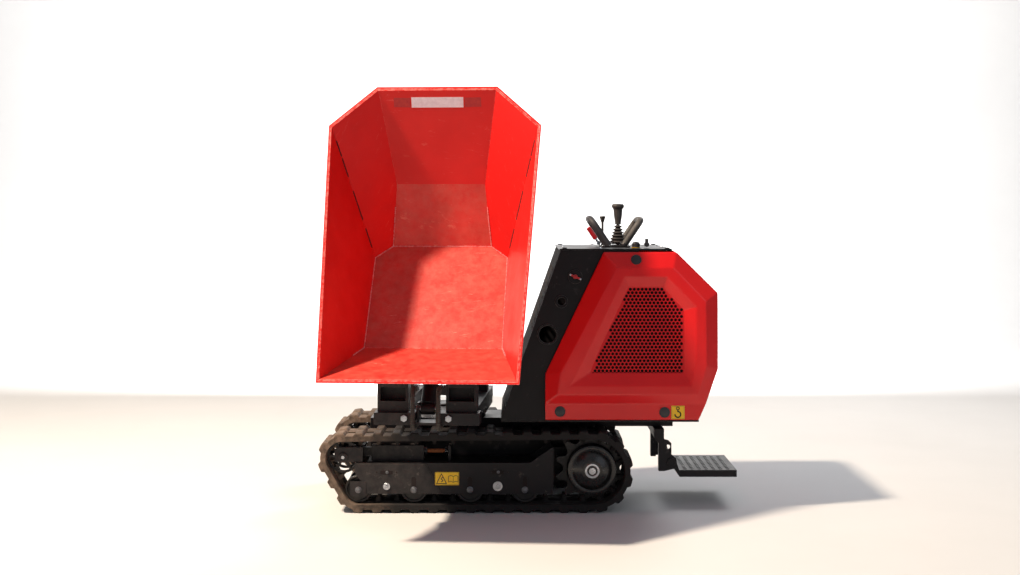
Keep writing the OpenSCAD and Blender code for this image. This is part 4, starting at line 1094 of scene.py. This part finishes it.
def join(name, objects):
    """One mesh object out of several that share a material."""
    bm = bmesh.new()
    for ob in objects:
        bm.from_mesh(ob.data)
    mesh = bpy.data.meshes.new(name)
    bm.to_mesh(mesh)
    bm.free()
    for m in objects[0].data.materials:
        mesh.materials.append(m)
    for p in mesh.polygons:
        p.use_smooth = True
    for ob in objects:
        bpy.data.objects.remove(ob)
    made = bpy.data.objects.new(name, mesh)
    bpy.context.scene.collection.objects.link(made)
    return made


# ---------------------------------------------------------------- engine pack


# The cover's rings, each (x, z, depth) in millimetres, nine stations round from the front bottom
COVER_RINGS = [
    [(270, 353, 0), (856, 353, 0), (884, 415, 0), (932, 547, 0), (931, 838, 0), (772, 995, 0), (494, 995, 0),
     (270, 528, 0), (269, 415, 0)],
    [(270, 353, 24), (856, 353, 24), (884, 415, 24), (932, 547, 11), (931, 838, 11), (772, 995, 11),
     (494, 995, 11), (270, 528, 11), (269, 415, 24)],
    [None, None, (850, 452, 39.4), (886, 560, 39.4), (883, 806, 39.4), (758, 935, 39.4), (545.5, 935, 39.4),
     (330, 540, 39.4), (318, 452, 39.4)],
    [None, None, (826, 487, 39.2), (845, 566, 39.2), (846, 787, 39.2), (735, 900, 39.2), (572, 900, 39.2),
     (395, 540, 39.2), (366, 487, 39.2)],
    [None, None, (797, 533, 24), (799, 590, 24), (799, 774, 24), (717, 861, 24), (588, 861, 24), (466, 600, 24),
     (440, 533, 24)],
]
SHADE_SHEET_GROWTH, SHADE_SHEET_DEPTH = 1.07, (9, 16)
GRILLE_FIELD = [(440, 533), (797, 533), (799, 774), (717, 861), (588, 861)]


def inside(outline, x, z, margin=0.0):
    """True if (x, z) is inside a convex outline listed counterclockwise, at least margin from its sides."""
    for (ax, az), (bx, bz) in zip(outline, outline[1:] + outline[:1]):
        ex, ez = bx - ax, bz - az
        if (ex * (z - az) - ez * (x - ax)) / math.hypot(ex, ez) < margin:
            return False
    return True


class WHEELBARROW_OT_covers(bpy.types.Operator):
    """Adds the moulded side covers with their punched grilles, plugs and pictograms"""
    bl_idname = "wheelbarrow.covers"
    bl_label = "Side covers"

    def execute(self, context):
        s = settings()
        for side in ("left", "right"):
            face = xz(side, COVER_FACE[side])
            bm = bmesh.new()
            rings = [[p and bm.verts.new(face(*p)) for p in ring] for ring in COVER_RINGS]
            n = len(rings[0])
            for k in range(n):
                j = (k + 1) % n
                bm.faces.new((rings[0][k], rings[0][j], rings[1][j], rings[1][k]))
            bm.faces.new((rings[1][0], rings[1][1], rings[1][2], rings[1][8]))
            for a, b in zip(rings[1:], rings[2:]):
                for k in range(2, n):
                    j = k + 1 if k + 1 < n else 2
                    bm.faces.new((a[k], a[j], b[j], b[k]))
            bmesh.ops.recalc_face_normals(bm, faces=bm.faces)
            probe = max(bm.faces, key=lambda f: f.calc_area())
            if probe.normal.y * OUTWARD[side] < 0:
                bmesh.ops.reverse_faces(bm, faces=bm.faces)
            place(rounded_shell(new_object("cover_%s_shell" % side, bm, "cover"), 5.0, 2.4), "machine",
                  "cover_red", "cover_" + side)
            self.grille(side, s)
            self.shade_sheet(side)
            caps = bmesh.new()
            for x, z, d, tilt in ((326, 386, 24, 0), (725.5, 383, 24, 0), (617, 966, 24.6, 25)):
                t = math.radians(tilt)
                at = face(x, z, d) / MM
                m = facing(at, (0, OUTWARD[side] * math.cos(t), math.sin(t)))
                lathe(caps, [(0, -8), (9, -8), (9, -0.5), (20.5, -0.5), (20.5, 1.4), (19.4, 2.6), (17.6, 2.6),
                             (16.8, 1.8), (15.6, 1.8), (13, 3.0), (6, 3.9), (0, 4.1)], m, 40)
            finished("cover_%s_plugs" % side, caps, "nylon", "machine", "black_plastic")
        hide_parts("cover_plugs")
        # lifting point pictogram: a plain hook on a yellow square
        face = xz("left", COVER_FACE["left"])
        bm = bmesh.new()
        prism(bm, rounded_box(751, 802, 357, 408, 2), 24.05, 24.5, face)
        prism_frame(bm, 753, 800, 359, 406, 0.9, 24.5, 24.62, face, 1)
        stroke(bm, arc(776, 398, 5.5, range(0, 361, 30)), 3.6, 24.5, 24.64, face, 1)
        hook = [(776, 392), (776, 386)] + arc(776, 375, 11, range(90, -181, -18))
        stroke(bm, hook, 5.2, 24.5, 24.66, face, 1)
        finished("lifting_pictogram", bm, ("yellow", "ink"), "machine", "cover_red")
        return {"FINISHED"}

    def grille(self, side, s):
        """The punched sheet that fills the recess, its holes in staggered rows."""
        pitch = s.hole_pitch / MM
        row = pitch * math.sqrt(3) / 2
        lattice, holed = [], []
        z, k = 541.0, 0
        while z < 872:
            x = 430.0 + (pitch / 2 if k % 2 else 0)
            while x < 815:
                if inside(GRILLE_FIELD, x, z, -14):
                    lattice.append((x, z))
                    holed.append(inside(GRILLE_FIELD, x, z, 5.2))
                x += pitch
            z, k = z + row, k + 1
        mesh = bpy.data.meshes.new("grille_points")
        mesh.from_pydata([(x * MM, z * MM, 0) for x, z in lattice], [], [])
        flag = mesh.attributes.new("holed", "BOOLEAN", "POINT")
        for i, h in enumerate(holed):
            flag.data[i].value = h
        ob = bpy.data.objects.new("cover_%s_grille" % side, mesh)
        bpy.context.scene.collection.objects.link(ob)
        values = {"Pitch": s.hole_pitch, "Hole radius": s.hole_radius, "Material": FINISHES["grille"]}
        ob = run_tree(ob, TREES["punched"], **values)
        sign = OUTWARD[side]
        y = COVER_FACE[side] + sign * 22.5 * MM
        ob.data.transform(Matrix(((1, 0, 0, 0), (0, 0, sign, y), (0, 1, 0, 0), (0, 0, 0, 1))))
        if sign > 0:
            ob.data.flip_normals()
        for p in ob.data.polygons:
            p.use_smooth = False
        place(ob, "machine", "cover_red")

    def shade_sheet(self, side):
        """A dark sheet in the hollow of the cover, a little larger than the field of holes: painted shade that the
        holes show.
        """
        bm = bmesh.new()
        middle = sum((Vector(p) for p in GRILLE_FIELD), Vector((0, 0))) / len(GRILLE_FIELD)
        outline = [middle + (Vector(p) - middle) * SHADE_SHEET_GROWTH for p in GRILLE_FIELD]
        prism(bm, outline, *SHADE_SHEET_DEPTH, xz(side, COVER_FACE[side]))
        finished("cover_%s_lining" % side, bm, "shade_sheet", "machine", "black_plastic")


def rounded_shell(ob, radius_mm, thick_mm):
    """Rounds an open moulded skin's folds, then gives it its thickness inwards."""
    mesh = ob.data
    bm = bmesh.new()
    bm.from_mesh(mesh)
    folds = [e for e in bm.edges if len(e.link_faces) == 2 and e.calc_face_angle(0) > math.radians(5)]
    bmesh.ops.bevel(bm, geom=folds, offset=radius_mm * MM, offset_type="OFFSET", segments=4, profile=0.5,
                    affect="EDGES", clamp_overlap=True)
    bm.to_mesh(mesh)
    bm.free()
    smooth(ob)
    solid = ob.modifiers.new("thickness", "SOLIDIFY")
    solid.thickness, solid.offset = thick_mm * MM, -1
    ob.modifiers.new("normals", "WEIGHTED_NORMAL").keep_sharp = True
    return flatten(ob)


def rounded_box(x0, x1, z0, z1, r):
    out = []
    for cx, cz, start in ((x1 - r, z1 - r, 0), (x0 + r, z1 - r, 90), (x0 + r, z0 + r, 180), (x1 - r, z0 + r, 270)):
        out += arc(cx, cz, r, range(start, start + 91, 30))
    return out


def stroke(bm, line, width, low, high, to_world, slot_index):
    """A flat line of the given width along points (u, v), as short joined bars."""
    for (ax, az), (bx, bz) in zip(line, line[1:]):
        d = Vector((bx - ax, bz - az))
        if d.length < 1e-6:
            continue
        d.normalize()
        n = Vector((-d.y, d.x)) * width / 2
        e = d * width * 0.22
        prism(bm, [(ax - e.x + n.x, az - e.y + n.y), (ax - e.x - n.x, az - e.y - n.y),
                   (bx + e.x - n.x, bz + e.y - n.y), (bx + e.x + n.x, bz + e.y + n.y)],
              low, high, to_world, slot_index)


def prism_frame(bm, x0, x1, z0, z1, width, low, high, to_world, slot_index):
    stroke(bm, [(x0, z0), (x1, z0), (x1, z1), (x0, z1), (x0, z0)], width, low, high, to_world, slot_index)


class WHEELBARROW_OT_console(bpy.types.Operator):
    """Adds the console panels, lid, rear hood, isolator, grommets and screws"""
    bl_idname = "wheelbarrow.console"
    bl_label = "Console"

    def execute(self, context):
        r = settings().edge_round / MM
        for node, key, edge in (("console_left", "black", r), ("console_right", "black", r),
                                ("console_lid", "black", 1.6), ("console_grille", "matt", 0.7),
                                ("rear_hood", "cover", 1.0)):
            slot = "cover_red" if node == "rear_hood" else "console_black"
            place(refined(node, key, edge, node + "_sheet", 1 if node == "console_grille" else 2), "machine",
                  slot, node)
        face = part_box("console_left")[0].y + 5 * MM
        side = lambda x, z, d: Vector((x * MM, face - d * MM, z * MM))
        bm = bmesh.new()
        for x, z, a, b in ((332.6, 804, 15.2, 24.0), (279, 678, 33.0, 39.6)):
            m = facing(side(x, z, 0) / MM, (0, -1, 0))
            ring = [(a, -5), (b - 3, -5), (b - 3, 0.5), (b, 0.5), (b, 4.0), (b - 1.6, 4.8), (a + 2.4, 4.8),
                    (a, 3.2)]
            lathe(bm, ring + [ring[0]], m, 56)
        finished("console_grommets", bm, "nylon", "machine", "black_plastic")
        bm = bmesh.new()
        m = facing(side(*ISOLATOR, 0) / MM, (0, -1, 0))
        collar = [(10.5, -4), (24, -4), (24, 0.4), (26.8, 0.4), (26.8, 3.6), (25, 4.9), (19, 4.9), (17.5, 3.6),
                  (12, 3.6), (10.5, 3.0)]
        lathe(bm, collar + [collar[0]], m, 56)
        finished("isolator_collar", bm, "nylon", "machine", "black_plastic")
        # red key: a bar with rounded ends on a round spindle, two bright rivets in it
        cos, sin = math.cos(ISOLATOR_TURN), math.sin(ISOLATOR_TURN)
        bm = bmesh.new()
        key_face = lambda u, v, w: side(ISOLATOR[0] + u * cos - v * sin, ISOLATOR[1] + u * sin + v * cos, w)
        prism(bm, rounded_box(-24.5, 24.5, -3.8, 3.8, 3.4), 6.0, 12.5, key_face)
        lathe(bm, [(0, -13), (8.8, -13), (8.8, 6.5), (0, 6.5)], m, 28)
        finished("isolator_key_bar", bm, "red_pvc", "isolator_body", "red_plastic", "isolator_key", bevel=0.8)
        rivets = [(key_face(e * 21, 0, 12.4) / MM, (0, -1, 0), 0.42) for e in (-1, 1)]
        place(stamped("isolator_key_rivets", PATTERNS["dome_pattern"], rivets, "zinc", 0.0), "isolator_body",
              "zinc")
        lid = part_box("console_lid")
        top = lid[1].z / MM - 5
        screws = [((x, y, top), (0, 0, 1), 1.0) for x in (345, 480, 740) for y in (-284, 284)]
        screws += [((x, y, top + 5), (0, 0, 1), 0.62) for x in (508, 604) for y in (-108, 108)]
        screws += [((x, y, top), (0, 0, 1), 0.8) for x in (345, 740) for y in (-95, 95)]
        place(stamped("lid_screws", PATTERNS["dome_pattern"], screws, "zinc", 0.0), "machine", "zinc")
        return {"FINISHED"}


class WHEELBARROW_OT_contents(bpy.types.Operator):
    """Adds the engine, tanks, pump, battery and valve behind the covers"""
    bl_idname = "wheelbarrow.contents"
    bl_label = "Engine and tanks"

    def execute(self, context):
        for node, key, slot, edge in (("engine", "alloy", "engine_alloy", 2.0),
                                      ("hydraulic_pump", "alloy", "engine_alloy", 1.6),
                                      ("control_valve", "alloy", "engine_alloy", 1.2),
                                      ("fuel_tank", "poly", "tank_black", 9),
                                      ("hydraulic_tank", "black", "frame_black", 2.0),
                                      ("battery", "poly", "tank_black", 3)):
            place(refined(node, key, edge, node + "_body", 3), "machine", slot, node)
        # ribbed heat shield between the exhaust and the fuel tank
        bm = bmesh.new()
        ribs = [(560 + 6 * k, 72.6 + (1.6 if k % 4 in (1, 2) else 0)) for k in range(24)]
        outline = ribs + [(x, y + 1.4) for x, y in reversed(ribs)]
        prism(bm, outline, 720, 880, local(Matrix()))
        finished("engine_heat_shield", bm, "heat", "machine", "engine_alloy")
        return {"FINISHED"}


# ---------------------------------------------------------------- controls and step


class WHEELBARROW_OT_controls(bpy.types.Operator):
    """Adds the joystick with its boot, the hand loops, levers, knob and switch"""
    bl_idname = "wheelbarrow.controls"
    bl_label = "Controls"

    def execute(self, context):
        stick = facing(STICK, (0, 0, 1))
        bm = bmesh.new()
        grip = [(0, 84), (12, 84), (12.6, 92), (13.4, 98), (15.2, 108), (17.2, 124), (18.2, 138), (19.6, 146),
                (23.6, 151), (25.3, 155), (25.3, 160), (23.4, 164), (19.4, 166.6), (17.2, 167.2), (15.4, 166.0),
                (6, 165.4), (0, 165.4)]
        lathe(bm, grip, stick, 10)
        lathe(bm, [(0, -21), (6.8, -21), (6.8, 88), (0, 88)], stick, 20)
        finished("joystick_grip", bm, "grip", "stick", "black_plastic", "joystick", bevel=1.0)
        bm = bmesh.new()
        # the neck swings inside the lid's opening, and the pleats above stay clear of its rim
        boot = [(0, 3.5), (25, 3.5), (25, 10), (32, 10.6)]
        r, h = 35.5, 11.0
        for k in range(6):
            boot += [(r - 1.0, h), (r, h + 1.8), (r - 0.8, h + 3.6), (r - 9.5, h + 7.6), (r - 10.2, h + 9.6)]
            r, h = r - 3.9, h + 12.4
        boot += [(12.5, 86), (12, 90), (0, 90)]
        lathe(bm, boot, stick, 40)
        finished("joystick_boot", bm, "boot", "stick", "black_plastic")
        bm = bmesh.new()
        collar = [(31, -0.9), (40, -0.9), (40, -0.4), (38.8, -0.05), (32, -0.05), (31, -0.4)]
        lathe(bm, collar + [collar[0]], stick, 48)
        finished("joystick_boot_collar", bm, "boot", "machine", "black_plastic")
        place(refined("joystick_gimbal", "zinc", 0.5, "joystick_gimbal_ring"), "gimbal", "zinc", "joystick_gimbal")
        # the rear loop takes the lighter foam: painted sunlight
        for node, foot, tilt, length, key in (("handle_front", 528, -34, 128, "foam"),
                                              ("handle_rear", 586, 34, 124, "foam_sunlit")):
            m = turned(Vector((foot, 0, LOOP_BASE)) * MM, (tilt, "Y"))
            bend, half = LOOP_BEND, LOOP_HALF
            pts = [(-half, 4), (-half, 30), (-half, length - bend - 8)]
            pts += arc(bend - half, length - bend, bend, range(180, 89, -10))
            pts += [(y, length) for y in (-40, 0, 40)]
            pts += arc(half - bend, length - bend, bend, range(90, -1, -10))
            pts += [(half, length - bend - 8), (half, 30), (half, 4)]
            loop = path_object(node + "_sleeve", [m @ Vector((0, y * MM, z * MM)) for y, z in pts])
            loop.data.bevel_depth, loop.data.bevel_resolution, loop.data.use_fill_caps = 13.4 * MM, 9, True
            loop.data.materials.append(FINISHES[key])
            place(smooth(flatten(loop), 50), "machine", "grip_foam", node)
            bm = bmesh.new()
            for s in (-1, 1):
                at = m @ Matrix.Translation((0, s * LOOP_HALF * MM, 0))
                lathe(bm, [(0, 1.6), (19, 1.6), (19.4, 3), (19.4, 4.6), (17.5, 5.4), (14.5, 5.4), (14.5, 12),
                           (0, 12)], at, 36)
            finished(node + "_ferrules", bm, "nylon", "machine", "black_plastic")
        m = turned(Vector(HOLD_LEVER) * MM, (-34, "Y"))
        bm = bmesh.new()
        lathe(bm, [(0, 20), (8.6, 20), (9.8, 21.5), (9.9, 70), (9.2, 74), (6, 76), (0, 76.2)], m, 28)
        finished("hold_lever_sleeve", bm, "red_pvc", "hold_lever_body", "red_plastic", "hold_lever")
        bm = bmesh.new()
        lathe(bm, [(0, 2), (5, 2), (5, 21), (0, 21)], m, 20)
        lathe(bm, [(0, -8), (7.8, -8), (7.8, 8), (0, 8)], facing(HOLD_LEVER, (0, 1, 0)), 24)
        finished("hold_lever_shank", bm, "zinc", "hold_lever_body", "zinc", bevel=0.6)
        m = turned(Vector(TIP_LEVER) * MM)
        bm = bmesh.new()
        lathe(bm, [(0, 0), (4.9, 0), (4.9, 82), (6.5, 84), (7.8, 87), (10.4, 97), (12.6, 102), (12.8, 105),
                   (11.2, 107.4), (6, 108), (0, 108)], m, 24)
        lathe(bm, [(0, -9), (8.8, -9), (8.8, 9), (0, 9)], facing(TIP_LEVER, (0, 1, 0)), 24)
        finished("tip_lever_stalk", bm, "grip", "tip_lever_body", "black_plastic", "tip_lever", bevel=0.6)
        m = turned(Vector(KNOB) * MM)
        bm = bmesh.new()
        profile = [(0, 0), (16.8, 0), (16.8, 5), (15.4, 6.4), (15.0, 8.4), (15.2, 14), (13.6, 19), (10.4, 22.6),
                   (5.2, 24.6), (0, 24.8)]
        lathe(bm, profile, m, 40)
        for k in range(14):
            a = 2 * math.pi * k / 14
            prism(bm, [(14.4, -1.1), (16.2, -1.1), (16.2, 1.1), (14.4, 1.1)], 8, 17,
                  local(m @ Matrix.Rotation(a, 4, "Z")))
        finished("start_knob_cap", bm, "nylon", "start_knob_body", "black_plastic", "start_knob", bevel=0.5)
        bm = bmesh.new()
        ring = [(15.6, 0.2), (16.98, 0.2), (16.98, 2.4), (15.6, 2.4)]
        lathe(bm, ring + [ring[0]], m, 48)
        finished("start_knob_ring", bm, "yellow", "start_knob_body", "black_plastic")
        m = turned(Vector(TOGGLE) * MM)
        bm = bmesh.new()
        prism(bm, rounded_box(-6, 6, -8, 8, 2.5), 4, 21.8, local(m))
        lathe(bm, [(0, -9.8), (9.8, -9.8), (9.8, 9.8), (0, 9.8)], facing(TOGGLE, (0, 1, 0)), 32)
        finished("toggle_switch_paddle", bm, "nylon", "toggle_body", "black_plastic", "toggle_switch",
                 bevel=1.0, segments=3)
        return {"FINISHED"}


class WHEELBARROW_OT_step(bpy.types.Operator):
    """Adds the folding step and its bracket"""
    bl_idname = "wheelbarrow.step"
    bl_label = "Folding step"

    def execute(self, context):
        place(refined("step_bracket", "frame", 1.6, "step_bracket_plates"), "machine", "frame_black",
              "step_bracket")
        place(refined("folding_step", "frame", 0.8, "folding_step_tray"), "step_body", "frame_black",
              "folding_step")
        # pictogram on the near track frame: a warning triangle and an open book, no words
        face = xz("left", TRACK_Y["left"])
        bm = bmesh.new()
        prism(bm, rounded_box(-152, -60, 104, 154, 2), 83.6, 84.0, face)
        stroke(bm, [(-146, 110), (-108, 110), (-127, 147), (-146, 110)], 3.0, 84.0, 84.15, face, 1)
        stroke(bm, [(-127, 116), (-121, 122), (-129, 128), (-123, 134)], 3.2, 84.0, 84.15, face, 1)
        stroke(bm, [(-100, 116), (-100, 138), (-91, 141), (-82, 137), (-73, 141), (-64, 138), (-64, 116),
                    (-73, 119), (-82, 115), (-91, 119), (-100, 116)], 2.0, 84.0, 84.15, face, 1)
        stroke(bm, [(-82, 115), (-82, 137)], 1.6, 84.0, 84.15, face, 1)
        prism_frame(bm, -150, -62, 106, 152, 0.9, 84.0, 84.1, face, 1)
        finished("manual_pictogram", bm, ("yellow", "ink"), "machine", "frame_black")
        return {"FINISHED"}


# ---------------------------------------------------------------- panel and registration


OPERATORS = (WHEELBARROW_OT_stage, WHEELBARROW_OT_belts, WHEELBARROW_OT_wheels, WHEELBARROW_OT_frames,
             WHEELBARROW_OT_turntable, WHEELBARROW_OT_skip, WHEELBARROW_OT_covers, WHEELBARROW_OT_console,
             WHEELBARROW_OT_contents, WHEELBARROW_OT_controls, WHEELBARROW_OT_step)


class WHEELBARROW_PT_panel(bpy.types.Panel):
    """Lists the settings and the steps that build the machine"""
    bl_label = "Power wheelbarrow"
    bl_idname = "WHEELBARROW_PT_panel"
    bl_space_type = "VIEW_3D"
    bl_region_type = "UI"
    bl_category = "Wheelbarrow"

    def draw(self, context):
        for name in WheelbarrowSettings.__annotations__:
            self.layout.prop(context.scene.wheelbarrow, name)
        for operator in OPERATORS:
            self.layout.operator(operator.bl_idname)


CLASSES = (WheelbarrowSettings, *OPERATORS, WHEELBARROW_PT_panel)


def register():
    for c in CLASSES:
        bpy.utils.register_class(c)
    bpy.types.Scene.wheelbarrow = bpy.props.PointerProperty(type=WheelbarrowSettings)


def unregister():
    del bpy.types.Scene.wheelbarrow
    for c in reversed(CLASSES):
        bpy.utils.unregister_class(c)


def main():
    register()
    for operator in OPERATORS:
        group, name = operator.bl_idname.split(".")
        getattr(getattr(bpy.ops, group), name)()
    for ob in PATTERNS.values():
        bpy.data.objects.remove(ob)


if __name__ == "__main__":
    main()
